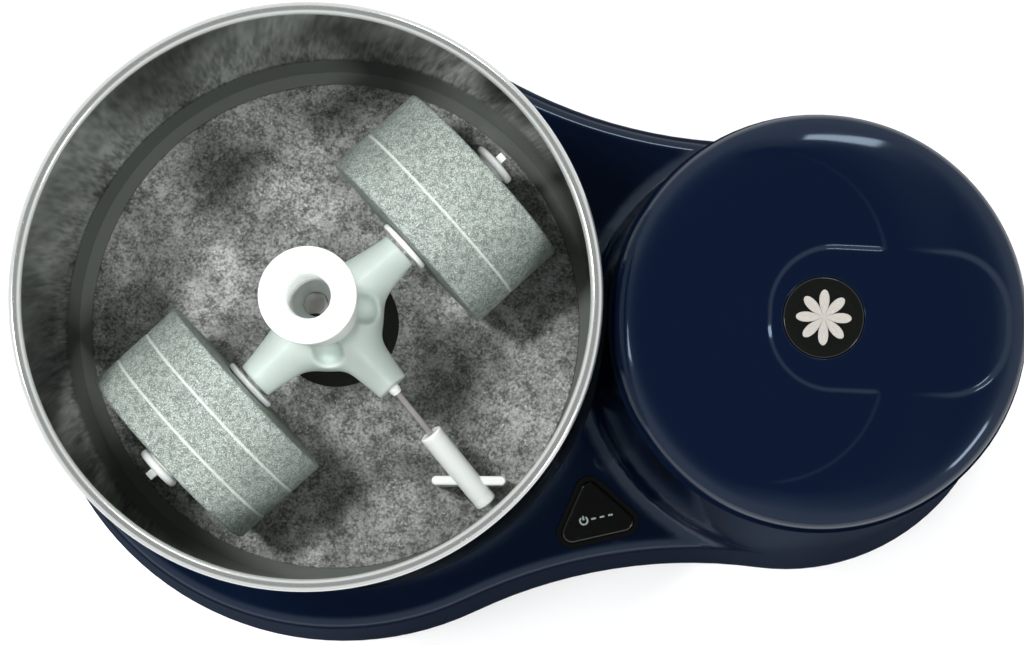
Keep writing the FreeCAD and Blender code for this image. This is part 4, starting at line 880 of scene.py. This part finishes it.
class GRINDER_OT_wiper(bpy.types.Operator):
    """Wiper: ferrule and steel rod on the holder, white sleeve and blade that swing on the rod"""
    bl_idname = "grinder.wiper"
    bl_label = "Wiper"

    def execute(self, context):
        show("rod", rod_points(), "rod steel", "roller_holder", "bright_steel", "wiper_rod", ring=False)
        show("ferrule", ferrule_points(), "white satin", "roller_holder", "white_plastic",
             "wiper_ferrule")
        show("sleeve", sleeve_points(), "white satin", "wiper", "white_plastic", "wiper_sleeve")
        show("blade", blade_points(), "white satin", "wiper", "white_plastic", "wiper_blade", ring=False)
        return {"FINISHED"}


def rod_points():
    """Profile carried round the rod's line: small flat end, straight side and a domed end."""
    near, far = reach_on_rod("wiper_rod")
    radius, dome = 1.5 * MM, 0.5 * MM
    profile = np.vstack([
        [(radius - dome, near)], run_of((radius, near + dome), (radius, far - dome), 20),
        arc((radius - dome, far - dome), dome, 0, 90, 5)])
    return along(profile, 32, *rod_line())


def ferrule_points():
    """Closed profile carried round the rod: bore, straight side, a shallow step and a round edge."""
    near, far = reach_on_rod("wiper_ferrule")
    bore, radius, edge = 1.6 * MM, 2.6 * MM, 0.5 * MM
    profile = np.vstack([
        [(bore, near), (radius, near), (radius, far - 1.4 * MM), (radius - 0.35 * MM, far - 1.1 * MM)],
        arc((radius - 0.8 * MM, far - edge), edge, 0, 90, 4), [(bore, far)]])
    return along(profile, 48, *rod_line())


def sleeve_points():
    """Closed profile carried round the rod: bore, eased ends and a wall that thins by 6% outwards,
    with a shallow moulded ring near each end."""
    near, far = reach_on_rod("wiper_sleeve")
    bore, radius, edge, ring_place, ring_depth = np.array([1.62, 5.3, 0.9, 4, 0.15]) * MM
    run = np.linspace(near + edge, far - edge, 60)
    rings = (near + ring_place, far - ring_place)
    ring = sum(np.exp(-((run - place) / (0.5 * MM)) ** 2) for place in rings)
    wall = radius * (1 - 0.06 * (run - near) / (far - near)) - ring_depth * ring
    profile = np.vstack([
        [(bore, near), (radius - edge, near)],
        arc((radius - edge, near + edge), edge, -90, 0, 6)[1:-1],
        np.stack([wall, run], -1),
        arc((wall[-1] - edge, far - edge), edge, 0, 90, 6)[1:], [(bore, far)]])
    return along(profile, 64, *rod_line())


def blade_points():
    """Upright slab with round ends: outline (u) is a stadium drawn in by e, and e follows a quarter
    circle near the top and the bottom edges (v)."""
    places = places_of("wiper_blade")
    low, high = places.min(axis=0), places.max(axis=0)
    centre = (low + high) / 2
    half_length, half_width, edge, segments = 16.5 * MM, 2.1 * MM, 1.1 * MM, 96
    turn = np.linspace(0, math.pi / 2, 7)
    flare, close = edge * (1 - np.sin(turn)), edge * (1 - np.cos(turn))
    ease = np.concatenate([flare, np.zeros(12), close])
    level = np.concatenate([low[2] + close, np.linspace(low[2] + edge, high[2] - edge, 14)[1:-1],
                            high[2] - flare])
    angle = np.linspace(0, TURN, segments, endpoint=False)
    radius = half_width - ease[:, None]
    x = np.where(np.cos(angle) > 0, 1, -1) * (half_length - half_width) + radius * np.cos(angle)
    x, y = turned_to(x, radius * np.sin(angle), -2.0)
    points = np.stack([centre[0] + x, centre[1] + y, np.repeat(level[:, None], segments, axis=1)], -1)
    return points


# ---- tower cap ----

def tongue_field(x, y):
    """Distance in plan, in metres from the tower's axis, to the tongue: a box with round corners."""
    low, high, half_width, corner = -21.6 * MM, 77.0 * MM, 29.0 * MM, 26.0 * MM
    qx = np.abs(x - (low + high) / 2) - (high - low) / 2 + corner
    qy = np.abs(y) - half_width + corner
    return np.hypot(np.maximum(qx, 0), np.maximum(qy, 0)) + np.minimum(np.maximum(qx, qy), 0) - corner


def cap_height(x, y):
    """Height of the cap's top over its shoulder, in plan places from the tower's axis.

    A shallow crown 7.5 (1 - q^2) mm over a tight shoulder 8.5 sqrt(1 - q^20) mm, with q = r / R, plus
    the tongue, which stands proud and ends in a soft step, plus two curved ridges that rise at a
    round arc each side and die away outwards.
    """
    crown, drop, arc_x, arc_y, arc_radius, fade = np.array([7.5, 8.5, -22, 21, 46.5, 70]) * MM
    radius = np.hypot(x, y)
    share = np.clip(radius / CAP_RADIUS, 0, 1)
    dome = crown * (1 - share ** 2) + drop * np.sqrt(1 - share ** 20)
    rise = shape().tongue_rise * (1 - smooth_step(-1.2 * MM, 1.8 * MM, tongue_field(x, y)))
    rise *= 1 - smooth_step(fade, 86 * MM, radius)
    from_arc = np.hypot(x - arc_x, np.abs(y) - arc_y) - arc_radius
    ridge = smooth_step(-1.5 * MM, 2.5 * MM, from_arc) * (1 - smooth_step(4 * MM, 34 * MM, from_arc))
    ridge *= smooth_step(27 * MM, 31 * MM, np.abs(y)) * (1 - smooth_step(fade, 84 * MM, radius))
    ridge *= smooth_step(-42 * MM, -10 * MM, x)
    return dome + rise + shape().wing_rise * ridge


class GRINDER_OT_tower_cap(bpy.types.Operator):
    """Glossy cap of the motor tower with its tongue, medallion and rosette"""
    bl_idname = "grinder.tower_cap"
    bl_label = "Tower cap"

    def execute(self, context):
        show("cap_shell", cap_points(), "navy gloss", "base", "navy_cap", "tower_cap", ring=False)
        show("medallion_disc", medallion_points(), "black gloss", "base", "black_gloss", "medallion",
             ring=False)
        show("rosette", rosette_points(), "silver foil", "base", "silver_emblem", "medallion_emblem",
             ring=False)
        return {"FINISHED"}


def cap_points():
    """Polar grid: point (i, j) stands at radius r_i and angle t_j, at the seat's depth inside the
    medallion's rim, at cap_height outside it, then down the skirt and in under its lip."""
    seat = levels("medallion")[0]
    seat_radius = half_size("medallion")[0] + 0.2 * MM
    start, segments = seat_radius + 0.35 * MM, 360
    radius = start + (CAP_RADIUS - start) * np.sin(np.linspace(0, 1, 130) * math.pi / 2)
    turn = np.arange(segments) * TURN / segments
    radius = np.concatenate([[seat_radius, seat_radius], radius])[:, None]
    x, y = radius * np.cos(turn), radius * np.sin(turn)
    level = CAP_SHOULDER + cap_height(x, y)
    level[0] = seat - 0.1 * MM
    level[1] -= 0.3 * MM
    inner, lip, foot = 84.2 * MM, 181.0 * MM, 176.0 * MM
    skirt = spin([(CAP_RADIUS, CAP_SHOULDER - 2 * MM), (CAP_RADIUS, 184 * MM),
                  (CAP_RADIUS, lip + 0.5 * MM), (CAP_RADIUS - 0.3 * MM, lip + 0.1 * MM),
                  (CAP_RADIUS - 0.8 * MM, lip), (inner, lip), (inner, foot)], segments, (0.0, 0.0))
    points = np.concatenate([np.stack([x, y, level], -1), skirt]) + TOWER * (1, 1, 0)
    return points


def medallion_points():
    """Disc profile carried round the tower's axis: eased edge, fine raised rim and flat face."""
    low, high = levels("medallion")
    radius = half_size("medallion")[0]
    edge, chamfer, face = 0.8 * MM, 0.2 * MM, 0.12 * MM
    profile = np.vstack([
        [(radius - chamfer, low), (radius, low + chamfer)],
        arc((radius - edge, high - edge), edge, 0, 90, 8),
        [(radius - 1.6 * MM, high), (radius - 1.9 * MM, high - face), (12.5 * MM, high - face),
         (12.2 * MM, high - 0.02 * MM), (6 * MM, high - 0.01 * MM)]])
    return spin(profile, 144, TOWER)


def rosette_points():
    """Rosette of eight petals: outline R(t) = 3.6 + 7.8 |cos 4t|^0.8 mm. Over the outline the height
    is a pillow sqrt(1 - s^4) with a vein down each petal and ripples beside it."""
    low, high = levels("medallion_emblem")
    turn = np.arange(480) * TURN / 480
    outline = (3.6 + 7.8 * np.abs(np.cos(4 * turn)) ** 0.8) * MM
    share = np.concatenate([np.linspace(0.06, 0.95, 26), [0.985, 1.0, 1.0]])[:, None]
    lift = np.sqrt(np.clip(1 - share ** 4, 0, 1))
    vein = np.exp(-(np.sin(4 * turn) / 0.12) ** 2) * smooth_step(0.2, 0.5, share)
    ribs = 0.5 + 0.5 * np.cos(26 * share) * (1 - vein)
    height = lift * (0.72 + 0.28 * ribs - 0.3 * vein)
    height[-1] = -0.4
    radius = share * outline
    z = np.minimum(low + shape().petal_rise * height, high)
    points = np.stack([TOWER[0] + radius * np.cos(turn), TOWER[1] + radius * np.sin(turn), z], -1)
    return points


# ---- start button ----

def outline_of(name, count):
    """Round-cornered outline of an upright convex node, seen from above: its outermost vertex in each
    direction, then spaced evenly round the outline."""
    places = places_of(name)[:, :2]
    turn = np.arange(1440) * TURN / 1440
    outer = np.argmax(places @ np.stack([np.cos(turn), np.sin(turn)]), axis=0)
    kept = places[outer[np.r_[True, outer[1:] != outer[:-1]]]]
    kept = np.vstack([kept, kept[:1]])
    length = np.r_[0, np.cumsum(np.linalg.norm(np.diff(kept, axis=0), axis=1))]
    wanted = np.arange(count) * length[-1] / count
    return np.stack([np.interp(wanted, length, kept[:, i]) for i in (0, 1)], -1)


def drawn_in(outline, distance):
    """Outline moved in square to itself by a distance."""
    ahead = np.roll(outline, -1, axis=0) - np.roll(outline, 1, axis=0)
    ahead /= np.linalg.norm(ahead, axis=1, keepdims=True)
    return outline + distance * np.stack([-ahead[:, 1], ahead[:, 0]], -1)


class GRINDER_OT_start_button(bpy.types.Operator):
    """Triangular start key with its printed mark"""
    bl_idname = "grinder.start_button"
    bl_label = "Start button"

    def execute(self, context):
        show("start_key", key_points(), "black gloss", "button", "black_gloss", "press_button",
             ring=False)
        show("key_mark", mark_mesh(), "printed ink", "button", "silver_emblem")
        paint("black gloss", "button_bezel")
        return {"FINISHED"}


def key_top(x, y):
    """Height of the key's face over its edge: a shallow dish whose rim is an arc across the key."""
    centre = middle("press_button")
    from_arc_centre = np.hypot(x - centre[0], y - (centre[1] - 20 * MM))
    return -0.45 * MM * (1 - smooth_step(8 * MM, 16.5 * MM, from_arc_centre))


def key_points():
    """Outline (v) by height and inward step (u): up the side, round the edge, then in to the middle,
    with the face's height from key_top."""
    low, high = levels("press_button")
    count, edge = 240, 1.1 * MM
    outline = outline_of("press_button", count)
    centre = outline.mean(axis=0)
    turn = np.linspace(0, math.pi / 2, 7)
    sides = [(0.0, low), (0.0, (low + high) / 2),
             *zip(edge * (1 - np.cos(turn)), high - edge * (1 - np.sin(turn)))]
    rows = [np.column_stack([drawn_in(outline, inset), np.full(count, level)]) for inset, level in sides]
    inner = drawn_in(outline, edge)
    for share in np.linspace(0.96, 0.04, 24):
        flat = centre + (inner - centre) * share
        level = high + key_top(flat[:, 0], flat[:, 1]) * smooth_step(1.0, 0.8, share)
        rows.append(np.column_stack([flat, level]))
    return np.stack(rows)


def mark_mesh():
    """Printed mark: an open ring with a bar through its gap, then three short dashes, as raised
    stadium strips whose top follows the key's face."""
    centre = middle("press_button") + np.array([-0.6, -2.2, 0]) * MM
    slope = math.radians(15)
    ahead = np.array([math.cos(slope), math.sin(slope)])
    up = np.array([-ahead[1], ahead[0]])
    high = levels("press_button")[1]
    width, sunk, height, ring_x, dash = 0.42 * MM, 0.03 * MM, 0.06 * MM, -6.2, 1.1
    ring = np.radians(np.linspace(125, 415, 40))
    strips = [np.stack([ring_x + 1.75 * np.cos(ring), 1.75 * np.sin(ring)], -1),
              np.stack([np.full(8, ring_x), np.linspace(0.2, 2.2, 8)], -1)]
    strips += [np.stack([np.linspace(x - dash, x + dash, 10), np.zeros(10)], -1)
               for x in (-1.6, 2.4, 6.4)]
    section = np.array([(-1, 0), (-1, 1), (1, 1), (1, 0)])
    work = bmesh.new()
    for strip in strips:
        strip = strip * MM
        forward = np.gradient(strip, axis=0)
        forward /= np.linalg.norm(forward, axis=1, keepdims=True)
        side = np.stack([-forward[:, 1], forward[:, 0]], -1)
        flat = strip[:, None] + width * section[None, :, :1] * side[:, None]
        plan = centre[:2] + flat[..., :1] * ahead + flat[..., 1:] * up
        level = high + key_top(plan[..., 0], plan[..., 1]) - sunk + height * section[:, 1]
        points = np.concatenate([plan, np.minimum(level, high + sunk)[..., None]], -1)
        part = grid_mesh("mark_part", points, ring=False)
        work.from_mesh(part)
        bpy.data.meshes.remove(part)
    mesh = bpy.data.meshes.new("key_mark")
    work.to_mesh(mesh)
    work.free()
    return mesh


# ---- kept nodes ----

class GRINDER_OT_base_finish(bpy.types.Operator):
    """Finishes of the base, the feet and the drive inside it"""
    bl_idname = "grinder.base_finish"
    bl_label = "Base and drive finishes"

    def execute(self, context):
        for thing in NODES.values():
            used = [material.name.split(".")[0] for material in thing.data.materials if material]
            name = SLOT_FINISHES.get(used[0], used[0].replace("_", " ")) if len(used) == 1 else ""
            if name in FINISHES:
                paint(name, thing.name)
        paint("navy gloss", "base_shell")
        return {"FINISHED"}


# ---- stage ----

# Light: name, azimuth and height in degrees, distance, width, depth, watts, seen in reflections
LIGHTS = (
    ("top", 90, 88, 2.4, 1.6, 1.6, 7, False),
    ("upper_left", 160, 68, 2.2, 0.26, 0.26, 36, False),
    ("lower_right", -54, 63, 2.2, 0.3, 0.3, 25, False),
    ("back", 100, 45, 2.6, 1.2, 0.9, 8, False),
    ("left", 205, 42, 2.6, 1.0, 1.0, 7, False),
    ("right", 10, 42, 2.6, 1.0, 1.0, 7, False),
    ("left_window", 184, 42, 2.2, 0.35, 0.45, 5, True),
    ("right_window", -28, 34, 2.2, 0.5, 0.3, 5, True),
    ("far_window", 75, 40, 2.4, 0.7, 0.25, 5, True),
)


class GRINDER_OT_stage(bpy.types.Operator):
    """Pale floor, soft lights all round and the camera"""
    bl_idname = "grinder.stage"
    bl_label = "Stage, lights and camera"

    def execute(self, context):
        add_floor(context.scene)
        add_world(context.scene)
        for light in LIGHTS:
            add_light(context.scene, *light)
        add_camera(context.scene)
        context.scene.view_settings.view_transform = "Standard"
        context.scene.view_settings.look = "None"
        return {"FINISHED"}


def add_floor(scene):
    """Pale sheet, evenly bright to the camera and painted darker for rays that bounce off the machine:
    painted shade, darkest close to the machine, so that its skirt stays navy.
    """
    reach, lobe_radius, tower_radius = 6.0, 0.145, 0.103
    corners = [(-reach, -reach, 0), (reach, -reach, 0), (reach, reach, 0), (-reach, reach, 0)]
    floor = bpy.data.meshes.new("floor")
    floor.from_pydata(corners, [], [(0, 1, 2, 3)])
    ground = bpy.data.objects.new("floor", floor)
    scene.collection.objects.link(ground)
    paper = bpy.data.materials.new("pale paper")
    paper.use_nodes = True
    tree = paper.node_tree
    shader = tree.nodes["Principled BSDF"]
    lobe, tower = [
        vector_maths(tree, "DISTANCE", object_place(tree), (axis[0], axis[1], 0), "Value") - foot
        for axis, foot in ((DRUM, lobe_radius), (TOWER, tower_radius))]
    # Painted shade seen only by rays that bounce: near black within a few centimetres of the feet, mid
    # grey further out.
    past_painted_shade = ramp(tree, lobe.maths("MINIMUM", lobe, tower), 0.04, 0.17)
    bounce_painted_shade = mixed(tree, past_painted_shade, (0.026, 0.034, 0.05, 1), (0.6, 0.6, 0.61, 1))
    seen = node(tree, "LightPath", out="Is Camera Ray")
    shade = mixed(tree, seen, bounce_painted_shade, (0.95, 0.95, 0.95, 1))
    tree.links.new(shade.socket, shader.inputs["Base Color"])
    shader.inputs["Roughness"].default_value = 0.9
    shader.inputs["Specular IOR Level"].default_value = 0.1
    floor.materials.append(paper)


def add_world(scene):
    """White surroundings that fall to near black overhead, so that level gloss stays dark."""
    world = bpy.data.worlds.new("studio")
    scene.world = world
    world.use_nodes = True
    tree = world.node_tree
    backdrop = tree.nodes["Background"]
    backdrop.inputs["Color"].default_value = (0.97, 0.99, 1.0, 1)
    direction = node(tree, "TexCoord", out="Generated")
    rise = node(tree, "SeparateXYZ", (0, direction), out="Z")
    tree.links.new(ramp(tree, rise, 0.5, 0.95, 0.8, 0.03).socket, backdrop.inputs["Strength"])


def add_light(scene, name, azimuth, height, distance, width, depth, power, mirrored):
    """Square light that looks at a point above the middle of the base."""
    lamp = bpy.data.lights.new(name, "AREA")
    lamp.shape = "RECTANGLE"
    lamp.size, lamp.size_y = width, depth
    lamp.energy = power
    holder = bpy.data.objects.new(name, lamp)
    holder.visible_glossy = mirrored
    turn, rise = math.radians(azimuth), math.radians(height)
    away = Vector((math.cos(turn) * math.cos(rise), math.sin(turn) * math.cos(rise), math.sin(rise)))
    place = Vector((0.0, 0.0, 0.1)) + distance * away
    holder.matrix_world = Matrix.Translation(place) @ away.to_track_quat("Z", "Y").to_matrix().to_4x4()
    scene.collection.objects.link(holder)


def add_camera(scene):
    """Camera almost straight above the drum, a little to its right and front."""
    lens = bpy.data.cameras.new("camera")
    lens.sensor_width, lens.lens = 36.0, 96.35
    lens.shift_x, lens.shift_y = -0.1445, 0.0317
    lens.clip_start, lens.clip_end = 0.05, 50
    camera = bpy.data.objects.new("camera", lens)
    camera.location = (DRUM[0] + 0.11019, DRUM[1] - 0.10230, RIM_TOP + 1.10625)
    camera.rotation_euler = (0.0743, -0.0335, 0.0411)
    scene.collection.objects.link(camera)
    scene.camera = camera


# ---- panel and registration ----

PIECES = (
    GRINDER_OT_base_finish, GRINDER_OT_drum_wall, GRINDER_OT_floor_stone, GRINDER_OT_roller_stones,
    GRINDER_OT_roller_fittings, GRINDER_OT_roller_holder, GRINDER_OT_lock_knob, GRINDER_OT_wiper,
    GRINDER_OT_tower_cap, GRINDER_OT_start_button, GRINDER_OT_stage,
)


class GRINDER_PT_panel(bpy.types.Panel):
    """Wet grinder: settings, then one button for each piece"""
    bl_idname = "GRINDER_PT_panel"
    bl_label = "Wet grinder"
    bl_space_type = "VIEW_3D"
    bl_region_type = "UI"
    bl_category = "Grinder"

    def draw(self, context):
        for settings in (context.scene.grinder_finish, context.scene.grinder_shape):
            column = self.layout.column()
            for field in settings.__annotations__:
                column.prop(settings, field)
        for piece in PIECES:
            self.layout.operator(piece.bl_idname)


CLASSES = (GrinderFinish, GrinderShape, *PIECES, GRINDER_PT_panel)


def register():
    """Makes the classes and the scene's settings known to Blender."""
    for item in CLASSES:
        bpy.utils.register_class(item)
    bpy.types.Scene.grinder_finish = bpy.props.PointerProperty(type=GrinderFinish)
    bpy.types.Scene.grinder_shape = bpy.props.PointerProperty(type=GrinderShape)


def unregister():
    """Takes them away again."""
    del bpy.types.Scene.grinder_shape
    del bpy.types.Scene.grinder_finish
    for item in reversed(CLASSES):
        bpy.utils.unregister_class(item)


def main():
    """Makes every piece."""
    register()
    for piece in PIECES:
        group, name = piece.bl_idname.split(".")
        if getattr(getattr(bpy.ops, group), name)() != {"FINISHED"}:
            raise RuntimeError(piece.bl_label + " was not made")


if __name__ == "__main__":
    main()
